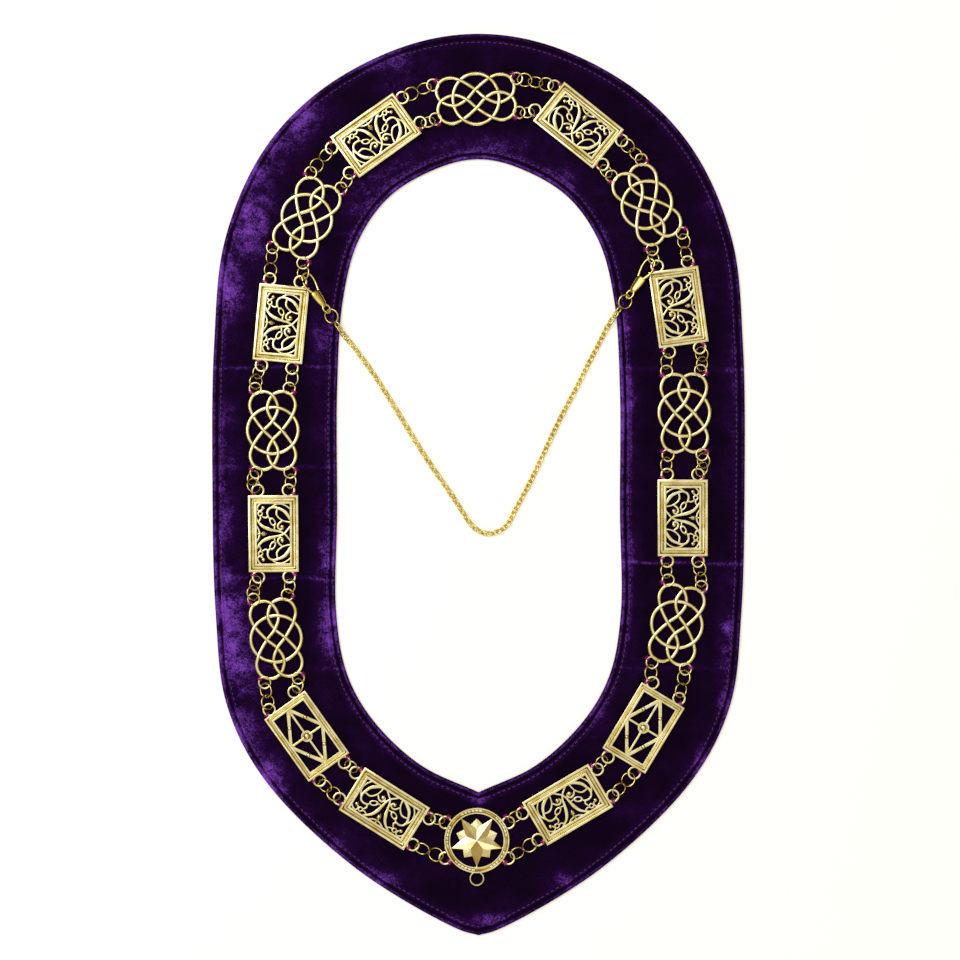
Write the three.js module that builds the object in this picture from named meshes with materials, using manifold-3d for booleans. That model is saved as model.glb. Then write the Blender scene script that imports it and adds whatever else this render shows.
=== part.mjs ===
// Chain of office: a velvet collar that carries eighteen gilt link plates joined
// by two strands of jump rings, with a fine safety chain on two lobster clasps.
// It lies flat. Millimetres, +Z up, +X to the right, +Y towards the back of the
// neck, origin in the middle of the collar's underside.

import * as THREE from 'three';
import { mergeVertices } from 'three/addons/utils/BufferGeometryUtils.js';
import Module from 'manifold-3d';

const wasm = await Module();
wasm.setup();

// ---------------------------------------------------------------- dimensions

const GAP = 0.3;
const VELVET_THICKNESS = 2.4;
const PLATE_BASE = VELVET_THICKNESS + GAP;

const PLAQUE = { length: 46, width: 30, height: 3, frame: 5, genericFrame: 4.2 };
const BAR_HEIGHT = 0.75;
const BOSS_HEIGHT = 0.8;
const PLAQUE_EYE = { along: 26, across: 9.2 };
const KNOT_EYE = { along: 25.2, across: 10.2 };
const MEDALLION_EYE = { along: 19, across: 10.7 };
const PENDANT_RING = { across: 22.9, radius: 4, wire: 0.65 };
const KNOT_WIRE = { width: 2, height: 2.7 };
const EYE = { radius: 3.5, wire: 0.5, z: 5.5 };
const OUTER_RING = { radius: 4.3, wire: 0.35, tilt: 37, join: 0.43 };
const INNER_RING = { radius: 4.2, wire: 0.35, tilt: 38, sag: 0.9, perGap: 0.385 };
// How an outer strand fills a gap: three rings over wideGap, else two, which stand
// aside by a share of what the gap lacks of tautGap, and turn by degrees per mm.
const OUTER_STRAND = {
  wideGap: 22, wideSpread: 0.285, spread: 0.215, tautGap: 16, aside: 0.4, turn: 12,
};
const MEDALLION = { outer: 19.8, inner: 15.8, height: 3, groove: 0.65 };
const STAR = { reach: 16.2, height: 3.4, notch: 0.382, edge: 0.8, tip: 0.05 };
const RAYS = { reach: 13, height: 1.8 };
const LOZENGE = { border: 2, reach: 0.6, bossTop: 2.2, bossFoot: 3.4, bar: 1.2 };
const CHAIN_WIDTH = 3.3;
const CLASP = { start: 1.2, z: 7.1, pitch: 4, roll: 26, wire: 0.75, thickness: 2.4, tail: 25.7 };
const CLASP_TAIL = { radius: 1.9, wire: 0.6 };
const CLASP_LEVER = { halfWidth: 0.6, halfHeight: 0.55 };

const rad = THREE.MathUtils.degToRad;

// The link plates in order, clockwise from the back of the neck: kind, place of
// the centre, and the angle of the plate's long axis.
const LINKS = [
  { kind: 'knot', x: -1.5, y: 231.5, turn: 4.5 },
  { kind: 'filigree', x: 60, y: 215.5, turn: -38.8 },
  { kind: 'knot', x: 101, y: 168, turn: -61 },
  { kind: 'filigree', x: 120, y: 106.5, turn: -82 },
  { kind: 'knot', x: 123.5, y: 43, turn: -89 },
  { kind: 'filigree', x: 122.5, y: -20, turn: -90 },
  { kind: 'knot', x: 119, y: -84, turn: -101 },
  { kind: 'lozenge', x: 99, y: -146, turn: -121 },
  { kind: 'filigree', x: 53.5, y: -192, turn: -149.5 },
  { kind: 'medallion', x: -1, y: -213.5, turn: -180 },
  { kind: 'filigree', x: -56.5, y: -194.5, turn: -212 },
  { kind: 'lozenge', x: -103, y: -151, turn: -234.5 },
  { kind: 'knot', x: -121.5, y: -92.5, turn: -262.5 },
  { kind: 'filigree', x: -123, y: -29.5, turn: -269.5 },
  { kind: 'knot', x: -123.5, y: 32.5, turn: -269.5 },
  { kind: 'filigree', x: -118.5, y: 96.5, turn: -275.5 },
  { kind: 'knot', x: -103, y: 160, turn: -297 },
  { kind: 'filigree', x: -61.5, y: 209.5, turn: -324.5 },
];

// The right half of the collar's outline, from the middle of the back to the point
// in front. The other half is its mirror image, and only the front is a corner.
const OUTER_EDGE = [
  [0, 271], [44.5, 263.5], [95, 237], [129.5, 200.5], [152.5, 147], [159, 84],
  [160, 0], [158, -78], [151.5, -132], [129, -177], [73.5, -231], [12, -267.5], [0, -271],
];
const INNER_EDGE = [
  [0, 195.5], [21, 191.5], [52.5, 174], [72, 147], [81.5, 111], [85, 57],
  [85, -15], [85.5, -78], [79, -114], [64, -141], [35, -168.5], [0, -185],
];

// One half of a scroll pattern in a plaque's own frame, [along, outwards from the
// neck]; the other half is its mirror image. Each bar is a curve of one width.
const SCROLLS = [
  { width: 1.8, points: [[9.5, 10.6], [6.6, 8.5], [2.7, 2.7], [1.1, -4.2], [-2.4, -8.7], [-5, -10.6]] },
  { width: 1.6, points: [[7, -10.6], [10.6, -8.9], [15.1, -3.2], [15, 1.8], [9.6, 3], [1.6, -0.2]] },
  { width: 1, points: [[15, -2.6], [10, -2.6], [6.9, -10.6]] },
  { width: 1, points: [[10, 2.4], [14.6, 10.8]] },
];
const OUTER_BUD = { width: 2.2, points: [[0, 10.6], [0, 4.4]] };

// The knot's strand in the knot's own frame: one half of a figure of eight, which
// the other half mirrors end for end, and a second strand mirrors side for side.
const KNOT_STRAND = [
  [13.2, 3.2], [21.1, 0], [23.4, -5.5], [21, -11.4], [15.2, -13.7], [8.7, -11.7],
  [0, -5.5], [-5.7, 0],
];
const KNOT_RING = { along: 13.9, across: 15.2 };

// The safety chain lies from the left clasp, down over the collar's inner edge,
// along the table in a long bow, and up to the right clasp.
const CHAIN_ROUTE = [
  [-86.4, 98.2, 5], [-83, 93, 4.4], [-80.6, 89.5, 3.4], [-78.5, 87, 2.5], [-75.5, 83.5, 1.8],
  [-71, 77.5, 1.7], [-62.5, 65.5, 1.7], [-51, 47.5, 1.7], [-40, 29.5, 1.7], [-28.5, 11.5, 1.7],
  [-16, -6.5, 1.7], [-4, -24.5, 1.7], [0.5, -28, 1.7], [5, -29.5, 1.7], [11, -28.5, 1.7],
  [17, -24.5, 1.7], [22, -15.5, 1.7], [31.5, 2.5, 1.7], [40, 20.5, 1.7], [48.5, 38.5, 1.7],
  [58, 56.5, 1.7], [67, 74.5, 1.7], [72.5, 85, 1.7], [75.8, 91.5, 1.8], [78, 95.5, 2.5],
  [79.8, 98.5, 3.4], [82.2, 102, 4.4], [86, 107, 5],
];

// ----------------------------------------------------------------- materials

function metal(color, roughness) {
  return new THREE.MeshStandardMaterial({ color, roughness, metalness: 1 });
}

const goldPlate = metal('#e0c46a', 0.25);
const goldWire = metal('#d9b860', 0.3);
const velvet = new THREE.MeshStandardMaterial({ color: '#2a0f4a', roughness: 0.95, metalness: 0 });

// ------------------------------------------------------- solids and geometry

function toSolid(geometry) {
  const bare = geometry.clone();
  bare.deleteAttribute('normal');
  bare.deleteAttribute('uv');
  const merged = mergeVertices(bare, 1e-4);
  return new wasm.Manifold(new wasm.Mesh({
    numProp: 3,
    vertProperties: merged.attributes.position.array,
    triVerts: new Uint32Array(merged.index.array),
  }));
}

function toGeometry(solid) {
  const mesh = solid.getMesh();
  const geometry = new THREE.BufferGeometry();
  geometry.setAttribute('position', new THREE.BufferAttribute(mesh.vertProperties, 3));
  geometry.setIndex(new THREE.BufferAttribute(mesh.triVerts, 1));
  geometry.computeVertexNormals();
  return geometry;
}

// Solders a list of closed geometries into one.
function solder(geometries) {
  return toGeometry(geometries.map(toSolid).reduce((whole, piece) => whole.add(piece)));
}

function meshOf(name, geometry, material) {
  const mesh = new THREE.Mesh(geometry, material);
  mesh.name = name;
  return mesh;
}

// Joins rings of points, each a cross-section, into one closed skin.
function skin(sections, closed) {
  const around = sections[0].length;
  const position = sections.flat().flatMap((point) => point.toArray());
  const index = [];
  const bays = closed ? sections.length : sections.length - 1;
  for (let i = 0; i < bays; i++) {
    const next = (i + 1) % sections.length;
    for (let j = 0; j < around; j++) {
      const side = (j + 1) % around;
      const [a, b] = [i * around + j, next * around + j];
      const [c, d] = [next * around + side, i * around + side];
      index.push(a, b, c, a, c, d);
    }
  }
  for (let j = 1; !closed && j < around - 1; j++) {
    const last = (sections.length - 1) * around;
    index.push(0, j, j + 1, last, last + j + 1, last + j);
  }
  const geometry = new THREE.BufferGeometry();
  geometry.setAttribute('position', new THREE.Float32BufferAttribute(position, 3));
  geometry.setIndex(index);
  return geometry;
}

// Sweeps a section, [to the left, up], along points in a level plane.
function sweep(points, section, closed = false) {
  const count = points.length;
  const sections = points.map((point, i) => {
    const before = points[closed ? (i + count - 1) % count : Math.max(i - 1, 0)];
    const after = points[closed ? (i + 1) % count : Math.min(i + 1, count - 1)];
    const forward = after.clone().sub(before).setZ(0).normalize();
    const left = new THREE.Vector3(-forward.y, forward.x, 0);
    return section.map(([across, up]) => point.clone().addScaledVector(left, across)
      .add(new THREE.Vector3(0, 0, up)));
  });
  return skin(sections, closed);
}

// A half-round bar that stands on its flat side.
function barSection(width, height) {
  return [[width / 2, 0], [-width / 2, 0], [0, height]];
}

// A round wire as a prism of a few sides.
function wireSection(radius, sides) {
  return Array.from({ length: sides }, (_, k) => {
    const angle = Math.PI / 2 - (2 * Math.PI * k) / sides;
    return [radius * Math.cos(angle), radius * Math.sin(angle)];
  });
}

function smooth(points, steps, closed = false) {
  const places = points.map(([x, y, z = 0]) => new THREE.Vector3(x, y, z));
  const curve = new THREE.CatmullRomCurve3(places, closed, 'centripetal');
  const made = curve.getSpacedPoints(steps);
  return closed ? made.slice(0, -1) : made;
}

function circle(x, y, z, radius, steps, stretch = 1) {
  return Array.from({ length: steps }, (_, k) => {
    const angle = (2 * Math.PI * k) / steps;
    return new THREE.Vector3(x + radius * Math.cos(angle), y + radius * stretch * Math.sin(angle), z);
  });
}

function wireRing(x, y, z, radius, wire, steps = 6) {
  return sweep(circle(x, y, z, radius, steps), wireSection(wire, 3), true);
}

// -------------------------------------------------------------- velvet collar

// A closed outline from its right half, clockwise from the point in front.
function wholeOutline(points) {
  const left = points.slice(1).reverse().map(([x, y]) => [-x, y]);
  return smooth([...left, ...points], 48).slice(0, -1).map((point) => new THREE.Vector2(point.x, point.y));
}

function velvetBacking() {
  const shape = new THREE.Shape(wholeOutline(OUTER_EDGE));
  shape.holes.push(new THREE.Path(wholeOutline(INNER_EDGE).reverse()));
  const geometry = new THREE.ExtrudeGeometry(shape, { depth: VELVET_THICKNESS, bevelEnabled: false });
  return meshOf('velvet_backing', geometry, velvet);
}

// ---------------------------------------------------------------- link plates

// A picture-frame moulding: an outer rib, a groove and an inner rib, mitred.
function frameMoulding(frame) {
  const { length, width, height } = PLAQUE;
  const profile = [
    [0, 0], [0, height], [frame * 0.3, height], [frame * 0.45, height * 0.6],
    [frame * 0.62, height * 0.95], [frame, height * 0.85], [frame, 0],
  ];
  const corners = [[1, 1], [-1, 1], [-1, -1], [1, -1]];
  const sections = corners.map(([sx, sy]) => profile.map(([inset, up]) => new THREE.Vector3(
    sx * (length / 2 - inset), sy * (width / 2 - inset), PLATE_BASE + up)));
  return skin(sections, true);
}

// The four loops that a plate hangs by, cast into its ends.
function fourEyes({ along, across }) {
  return [[1, 1], [1, -1], [-1, 1], [-1, -1]].map(([end, side]) => wireRing(
    end * along, side * across, EYE.z, EYE.radius, EYE.wire));
}

function scrollBar({ width, points }, flip) {
  const turned = points.map(([along, out]) => [flip * along, out, PLATE_BASE]);
  const path = smooth(turned, points.length);
  return sweep(path, barSection(width, PLAQUE.height * BAR_HEIGHT));
}

function filigree() {
  const halves = [1, -1].flatMap((flip) => SCROLLS.map((bar) => scrollBar(bar, flip)));
  return [frameMoulding(PLAQUE.frame), ...halves, scrollBar(OUTER_BUD, 1)];
}

// A plain lozenge with a boss in the middle, held by its four points.
function lozenge() {
  const along = PLAQUE.length / 2 - PLAQUE.genericFrame + LOZENGE.reach;
  const across = PLAQUE.width / 2 - PLAQUE.genericFrame + LOZENGE.reach;
  const corners = [[along, 0], [0, across], [-along, 0], [0, -across]]
    .map(([x, y]) => new THREE.Vector3(x, y, PLATE_BASE));
  const border = sweep(corners, barSection(LOZENGE.border, PLAQUE.height * BAR_HEIGHT), true);
  const bossHeight = PLAQUE.height * BOSS_HEIGHT;
  const boss = new THREE.CylinderGeometry(LOZENGE.bossTop, LOZENGE.bossFoot, bossHeight, 8)
    .rotateX(Math.PI / 2).translate(0, 0, PLATE_BASE + bossHeight / 2);
  const bars = [[[-along, 0], [along, 0]], [[0, -across], [0, across]]]
    .map((points) => scrollBar({ width: LOZENGE.bar, points }, 1));
  return [frameMoulding(PLAQUE.genericFrame), border, boss, ...bars];
}

function knot() {
  const { width, height } = KNOT_WIRE;
  const section = barSection(width, height);
  const mirrored = KNOT_STRAND.map(([along, across]) => [-along, across]);
  const eight = smooth([...KNOT_STRAND, ...mirrored], 18, true);
  const half = eight.length / 2;
  const pieces = [1, -1].flatMap((side) => [0, half].map((start) => {
    const strand = Array.from({ length: half + 1 }, (_, k) => eight[(start + k) % eight.length]);
    return sweep(strand.map(({ x, y }) => new THREE.Vector3(x, side * y, PLATE_BASE)), section);
  }));
  const ring = circle(0, 0, PLATE_BASE, KNOT_RING.along, 12, KNOT_RING.across / KNOT_RING.along);
  return [...pieces, sweep(ring, section, true)];
}

// A star of five points, ridged from its middle to each point and each notch.
function star({ reach, height }, turn) {
  const outline = (scale, up) => Array.from({ length: 10 }, (_, k) => {
    const radius = scale * reach * (k % 2 ? STAR.notch : 1);
    const angle = rad(turn + 36 * k);
    return new THREE.Vector3(radius * Math.cos(angle), radius * Math.sin(angle), PLATE_BASE + up);
  });
  return skin([outline(STAR.tip, height), outline(1, STAR.edge), outline(1, 0), outline(STAR.tip, 0)], false);
}

function medallion() {
  const { outer, inner, height, groove } = MEDALLION;
  const middle = (outer + inner) / 2;
  const profile = [
    [outer, 0], [outer, height], [middle, height * groove], [inner, height], [inner, 0],
  ];
  const steps = 20;
  const sections = Array.from({ length: steps }, (_, k) => profile.map(([radius, up]) => {
    const angle = (2 * Math.PI * k) / steps;
    return new THREE.Vector3(radius * Math.cos(angle), radius * Math.sin(angle), PLATE_BASE + up);
  }));
  const { across, radius, wire } = PENDANT_RING;
  return [
    skin(sections, true),
    star(STAR, 90),
    star(RAYS, 90 + 36),
    wireRing(0, across, EYE.z, radius, wire, 8),
  ];
}

const PLATE_SHAPES = {
  knot: { make: knot, eye: KNOT_EYE },
  filigree: { make: filigree, eye: PLAQUE_EYE },
  lozenge: { make: lozenge, eye: PLAQUE_EYE },
  medallion: { make: medallion, eye: MEDALLION_EYE },
};
const PLATE_NAMES = {
  knot: 'knot_plate', filigree: 'filigree_plaque', lozenge: 'lozenge_plaque', medallion: 'star_medallion',
};

// One mesh for each link; plates of one kind share a geometry.
function linkPlates() {
  const geometries = Object.fromEntries(Object.entries(PLATE_SHAPES).map(
    ([kind, { make, eye }]) => [kind, solder([...make(), ...fourEyes(eye)])]));
  const counts = {};
  return LINKS.map(({ kind, x, y, turn }) => {
    counts[kind] = (counts[kind] ?? 0) + 1;
    const name = kind === 'medallion' ? PLATE_NAMES[kind] : `${PLATE_NAMES[kind]}_${counts[kind]}`;
    const mesh = meshOf(name, geometries[kind], goldPlate);
    mesh.position.set(x, y, 0);
    mesh.rotation.z = rad(turn);
    return mesh;
  });
}

// ----------------------------------------------------------------- jump rings

// Where an eye of a link lies: end +1 is the leading end, side +1 the outer side.
function eyePlace({ kind, x, y, turn }, end, side) {
  const { along, across } = PLATE_SHAPES[kind].eye;
  return new THREE.Vector3(end * along, side * across, 0)
    .applyAxisAngle(new THREE.Vector3(0, 0, 1), rad(turn))
    .add(new THREE.Vector3(x, y, EYE.z));
}

// The rings' places between two eyes, as shares of the gap; a slack pair of rings
// also stands aside, away from the neck, and each turns towards its neighbour.
function ringPlaces(gap, outer) {
  if (!outer) return [{ share: 0.5, aside: -INNER_RING.sag, turn: 0 }];
  const { wideGap, wideSpread, spread, tautGap, turn } = OUTER_STRAND;
  if (gap > wideGap) {
    return [-1, 0, 1].map((side) => ({ share: 0.5 + side * wideSpread, aside: 0, turn: 0 }));
  }
  const aside = Math.max(0, tautGap - gap) * OUTER_STRAND.aside;
  return [1, -1].map((side) => ({ share: 0.5 - side * spread, aside, turn: side * turn * aside }));
}

// The point of a tilted ring that faces a given place.
function facing(ring, place) {
  const towards = place.clone().sub(ring.center).setZ(0).normalize();
  const point = new THREE.Vector3(towards.dot(ring.axis), towards.dot(ring.left), 0);
  return point.multiplyScalar(ring.radius).applyMatrix4(ring.matrix);
}

function placedRing(center, direction, tilt, { radius, wire }) {
  const matrix = new THREE.Matrix4().makeRotationZ(direction)
    .multiply(new THREE.Matrix4().makeRotationX(tilt)).setPosition(center);
  const axis = new THREE.Vector3(Math.cos(direction), Math.sin(direction), 0);
  const left = new THREE.Vector3(-axis.y, axis.x, 0);
  const geometry = wireRing(0, 0, 0, radius, wire).applyMatrix4(matrix);
  return { center, radius, axis, left, matrix, geometry };
}

function barBetween(from, to, radius) {
  const length = from.distanceTo(to) + 2 * radius;
  const direction = to.clone().sub(from).normalize();
  const turn = new THREE.Quaternion().setFromUnitVectors(new THREE.Vector3(0, 1, 0), direction);
  const middle = from.clone().add(to).multiplyScalar(0.5);
  return new THREE.CylinderGeometry(radius, radius, length, 4)
    .applyQuaternion(turn).translate(middle.x, middle.y, middle.z);
}

// The rings of one strand between two links, joined where one passes through the
// next. The tilt changes side from ring to ring, so that each can pass its neighbour.
function strandRings(from, to, outer) {
  const along = to.clone().sub(from);
  const innerRadius = Math.max(INNER_RING.radius, INNER_RING.perGap * along.length());
  const size = outer ? OUTER_RING : { ...INNER_RING, radius: innerRadius };
  const heading = Math.atan2(along.y, along.x);
  const left = new THREE.Vector3(-Math.sin(heading), Math.cos(heading), 0);
  return ringPlaces(along.length(), outer).map(({ share, aside, turn }, k) => {
    const center = from.clone().addScaledVector(along, share).addScaledVector(left, aside);
    const tilt = rad(size.tilt) * (k % 2 ? -1 : 1) * (outer ? 1 : -1);
    return placedRing(center, heading + rad(turn), tilt, size);
  });
}

function strandGeometry(rings) {
  const bars = rings.slice(1).map((ring, k) => barBetween(
    facing(rings[k], ring.center), facing(ring, rings[k].center), OUTER_RING.join));
  return solder([...rings.map((ring) => ring.geometry), ...bars]);
}

function gapEyes(k, side) {
  const next = LINKS[(k + 1) % LINKS.length];
  return [eyePlace(LINKS[k], 1, side), eyePlace(next, -1, side)];
}

function jumpRings() {
  return LINKS.flatMap((_, k) => [['outer', 1], ['inner', -1]].map(([name, side]) => {
    const rings = strandRings(...gapEyes(k, side), side > 0);
    return meshOf(`${name}_rings_${k + 1}`, strandGeometry(rings), goldWire);
  }));
}

// -------------------------------------------------- lobster clasps and chain

// A clasp in its own frame: X from the hook's round end to the tail, +Y or -Y (by
// side) the bowed back of the hook, Z through its flat.
const HOOK_BACK = [[3.2, -3.2], [1.2, -2.4], [0, 0], [1, 2.7], [3.6, 3.7], [7.5, 3.8], [13, 2.6]];
const LEVER_PATH = [[4.2, -3.5], [6.5, -3.9], [9.5, -3.3], [12.6, -1.8]];
const BODY_OUTLINE = [
  [10.5, 3.9], [14, 3.3], [23.6, 1.1], [23.6, -1.1], [17.5, -2.6], [14.9, -2.8], [14.9, 0], [12, 1.2],
];
const LEVER_PIVOT = [12.6, -1.8];
const CHEEK = { radius: 2.6, thickness: 0.5 };

function flat(points, depth, side) {
  const shape = new THREE.Shape(points.map(([x, y]) => new THREE.Vector2(x, side * y)));
  return new THREE.ExtrudeGeometry(shape, { depth, bevelEnabled: false }).translate(0, 0, -depth / 2);
}

function claspBody(side) {
  const hook = smooth(HOOK_BACK.map(([x, y]) => [x, side * y]), 14);
  const [pivotX, pivotY] = LEVER_PIVOT;
  const cheeks = [1, -1].map((face) => new THREE.CylinderGeometry(
    CHEEK.radius, CHEEK.radius, CHEEK.thickness, 8).rotateX(Math.PI / 2)
    .translate(pivotX, side * pivotY, (face * (CLASP.thickness - CHEEK.thickness / 2)) / 2));
  return solder([
    sweep(hook, wireSection(CLASP.wire, 4)),
    flat(BODY_OUTLINE, CLASP.thickness, side),
    ...cheeks,
    wireRing(CLASP.tail, 0, 0, CLASP_TAIL.radius, CLASP_TAIL.wire),
  ]);
}

function claspLever(side) {
  const path = smooth(LEVER_PATH.map(([x, y]) => [x, side * y]), 6);
  const { halfWidth, halfHeight } = CLASP_LEVER;
  const section = [[1, -1], [-1, -1], [-1, 1], [1, 1]].map(([x, y]) => [x * halfWidth, y * halfHeight]);
  return solder([sweep(path, section)]);
}

const CLASPS = [
  { name: 'left', gap: 15, yaw: -57, side: 1 },
  { name: 'right', gap: 2, yaw: -123, side: -1 },
];

// The pose of a clasp whose hook goes through the inner ring of its gap. It rolls
// against the ring's tilt, and its tail comes down to the velvet.
function claspMatrix({ gap, yaw, side }) {
  const [ring] = strandRings(...gapEyes(gap, -1), false);
  const turn = new THREE.Euler(-side * rad(CLASP.roll), rad(CLASP.pitch), rad(yaw), 'ZYX');
  const along = new THREE.Vector3(CLASP.start, 0, 0).applyAxisAngle(new THREE.Vector3(0, 0, 1), rad(yaw));
  const place = ring.center.clone().add(along).setZ(CLASP.z);
  return new THREE.Matrix4().makeRotationFromEuler(turn).setPosition(place);
}

function clasps() {
  return CLASPS.flatMap((clasp) => {
    const group = new THREE.Group();
    group.add(meshOf(`${clasp.name}_clasp_body`, claspBody(clasp.side), goldPlate));
    group.add(meshOf(`${clasp.name}_clasp_lever`, claspLever(clasp.side), goldPlate));
    group.applyMatrix4(claspMatrix(clasp));
    return group;
  });
}

function endRing(clasp) {
  const center = new THREE.Vector3(CLASP.tail + INNER_RING.radius, 0, 0).applyMatrix4(claspMatrix(clasp));
  return placedRing(center, rad(clasp.yaw), clasp.side * rad(CLASP.roll), INNER_RING);
}

function safetyChain() {
  const tube = sweep(smooth(CHAIN_ROUTE, 42), wireSection(CHAIN_WIDTH / 2, 8));
  const ends = CLASPS.map((clasp) => endRing(clasp).geometry);
  return meshOf('safety_chain', solder([tube, ...ends]), goldWire);
}

// ------------------------------------------------------------------- assembly

const chainOfOffice = new THREE.Group();
chainOfOffice.add(velvetBacking(), ...linkPlates(), ...jumpRings(), ...clasps(), safetyChain());

export default chainOfOffice;
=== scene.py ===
"""A chain of office: gilt link plates and jump rings on a long velvet collar."""

import math
import random

import bmesh
import bpy
from mathutils import Matrix, Vector, noise


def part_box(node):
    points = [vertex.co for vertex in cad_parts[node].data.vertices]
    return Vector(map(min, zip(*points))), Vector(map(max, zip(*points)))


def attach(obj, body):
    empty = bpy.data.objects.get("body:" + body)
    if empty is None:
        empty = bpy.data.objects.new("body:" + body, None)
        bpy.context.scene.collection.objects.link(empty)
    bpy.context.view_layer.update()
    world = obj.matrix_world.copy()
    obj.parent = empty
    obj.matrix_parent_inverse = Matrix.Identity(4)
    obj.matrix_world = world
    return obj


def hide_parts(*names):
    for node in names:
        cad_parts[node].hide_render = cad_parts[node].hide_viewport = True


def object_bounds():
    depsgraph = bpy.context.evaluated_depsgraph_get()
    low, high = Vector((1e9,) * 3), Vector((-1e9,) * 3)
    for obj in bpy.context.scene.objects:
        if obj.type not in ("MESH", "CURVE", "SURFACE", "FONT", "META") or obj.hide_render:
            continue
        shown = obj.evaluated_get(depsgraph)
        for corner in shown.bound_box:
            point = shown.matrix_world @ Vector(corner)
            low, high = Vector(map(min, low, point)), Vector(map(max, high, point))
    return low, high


bl_info = {
    "name": "Chain of Office",
    "version": (1, 0, 0),
    "blender": (4, 5, 0),
    "location": "View3D > Sidebar > Chain of Office",
    "description": "Velvet collar with gilt plates, jump rings, clasps and safety chain",
    "category": "Add Mesh",
}

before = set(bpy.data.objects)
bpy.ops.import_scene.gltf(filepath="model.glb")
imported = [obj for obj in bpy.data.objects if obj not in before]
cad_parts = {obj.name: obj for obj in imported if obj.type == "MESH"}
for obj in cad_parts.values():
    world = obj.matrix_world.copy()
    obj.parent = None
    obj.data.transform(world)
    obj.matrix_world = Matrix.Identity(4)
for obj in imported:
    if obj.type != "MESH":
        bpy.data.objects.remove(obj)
CAD_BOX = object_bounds()

MM = 0.001
UP = Vector((0, 0, 1))
BODY = "collar"

# Sizes in millimetres, the same as the solids that these pieces stand for.
PLATE_BASE = 2.7
PLAQUE = {"length": 46, "width": 30, "height": 3}
KNOT_EYE = (25.2, 10.2)
PLAQUE_EYE = (26, 9.2)
MEDALLION_EYE = (19, 10.7)
MEDALLION = {"outer": 19.8, "inner": 15.8, "height": 3}
EYE = {"radius": 3.5, "wire": 0.66, "z": 5.5}
EYE_LEVEL = EYE["z"] - 0.8
PENDANT_RING = {"across": 22.9, "radius": 4, "wire": 0.65}
OUTER_RING = {"radius": 4.3, "tilt": 37}
INNER_RING = {"radius": 4.2, "tilt": 38, "sag": 0.9, "per_gap": 0.385}
OUTER_STRAND = {"wide_gap": 22, "wide_spread": 0.285, "spread": 0.215, "taut_gap": 16,
                "aside": 0.4, "turn": 12}

# Half of the collar's outline, mirrored to the other side.
OUTER_EDGE = [
    (0, 271), (44.5, 263.5), (95, 237), (129.5, 200.5), (152.5, 147), (159, 84),
    (160, 0), (158, -78), (151.5, -132), (129, -177), (73.5, -231), (12, -267.5), (0, -271),
]
INNER_EDGE = [
    (0, 195.5), (21, 191.5), (52.5, 174), (72, 147), (81.5, 111), (85, 57),
    (85, -15), (85.5, -78), (79, -114), (64, -141), (35, -168.5), (0, -185),
]


# ------------------------------------------------------------------- settings


def linear(code):
    """A colour for Blender from an sRGB hex value."""
    parts = [int(code[k:k + 2], 16) / 255 for k in (1, 3, 5)]
    return [c / 12.92 if c <= 0.04045 else ((c + 0.055) / 1.055) ** 2.4 for c in parts] + [1.0]


def colour(name, description, code):
    return bpy.props.FloatVectorProperty(
        name=name, description=description, subtype="COLOR", size=4, min=0, max=1, default=linear(code))


class VelvetSettings(bpy.types.PropertyGroup):
    """Sizes and colours of the velvet collar and its sewing."""

    pile: colour("Pile", "The velvet where the pile stands up", "#12031c")
    brushed: colour("Brushed", "The velvet where the pile leans a little", "#260840")
    crushed: colour("Crushed", "The velvet where the pile is crushed flat", "#8046c8")
    thread: colour("Stitching", "The topstitching thread", "#68388f")
    tack: colour("Tacks", "The thread that ties the plates down", "#bb2e98")
    seam: bpy.props.FloatProperty(
        name="Topstitching inset", description="From the edge to the stitch line",
        default=5.2 * MM, unit="LENGTH")
    pitch: bpy.props.FloatProperty(
        name="Stitch pitch", description="From one stitch to the next", default=3.3 * MM, unit="LENGTH")


class GiltSettings(bpy.types.PropertyGroup):
    """Sizes and colours of the gilt metal."""

    casting: colour("Castings", "The plates and the medallion", "#e9deae")
    shade: colour("Castings, deeper", "The deeper tone in the castings", "#cfbd74")
    wire_shade: colour("Wire, deeper", "The deeper tone in the wire", "#dfc86a")
    wire: colour("Wire", "The jump rings, clasps and chain", "#f5e793")
    ring_wire: bpy.props.FloatProperty(
        name="Ring wire", description="Radius of the jump rings' wire", default=0.46 * MM, unit="LENGTH")
    chain_pitch: bpy.props.FloatProperty(
        name="Chain pitch", description="From one chain link to the next",
        default=3.1 * MM, unit="LENGTH")


class StageSettings(bpy.types.PropertyGroup):
    """The floor, the light and the camera."""

    floor: colour("Floor", "The paper that it lies on", "#fbfbfb")
    reach: bpy.props.FloatProperty(
        name="Camera height", description="From the collar up to the camera", default=1.6, unit="LENGTH")


# ------------------------------------------------------------ making of pieces


def deselect_all():
    if bpy.context.object and bpy.context.object.mode != "OBJECT":
        bpy.ops.object.mode_set(mode="OBJECT")
    bpy.ops.object.select_all(action="DESELECT")


def pick(obj):
    deselect_all()
    obj.select_set(True)
    bpy.context.view_layer.objects.active = obj


def join(pieces, name):
    """One mesh object of several, its doubles left alone."""
    deselect_all()
    for piece in pieces:
        piece.select_set(True)
    bpy.context.view_layer.objects.active = pieces[0]
    if len(pieces) > 1:
        bpy.ops.object.join()
    pieces[0].name = name
    return pieces[0]


def settle(obj):
    """Puts an object's place and turn into its mesh."""
    pick(obj)
    bpy.ops.object.transform_apply(location=True, rotation=True, scale=True)
    return obj


def apply_modifier(obj, kind, **settings):
    pick(obj)
    modifier = obj.modifiers.new(kind, kind)
    for key, value in settings.items():
        setattr(modifier, key, value)
    bpy.ops.object.modifier_apply(modifier=modifier.name)


def soften(obj, angle=40):
    pick(obj)
    bpy.ops.object.shade_smooth_by_angle(angle=math.radians(angle))


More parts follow.
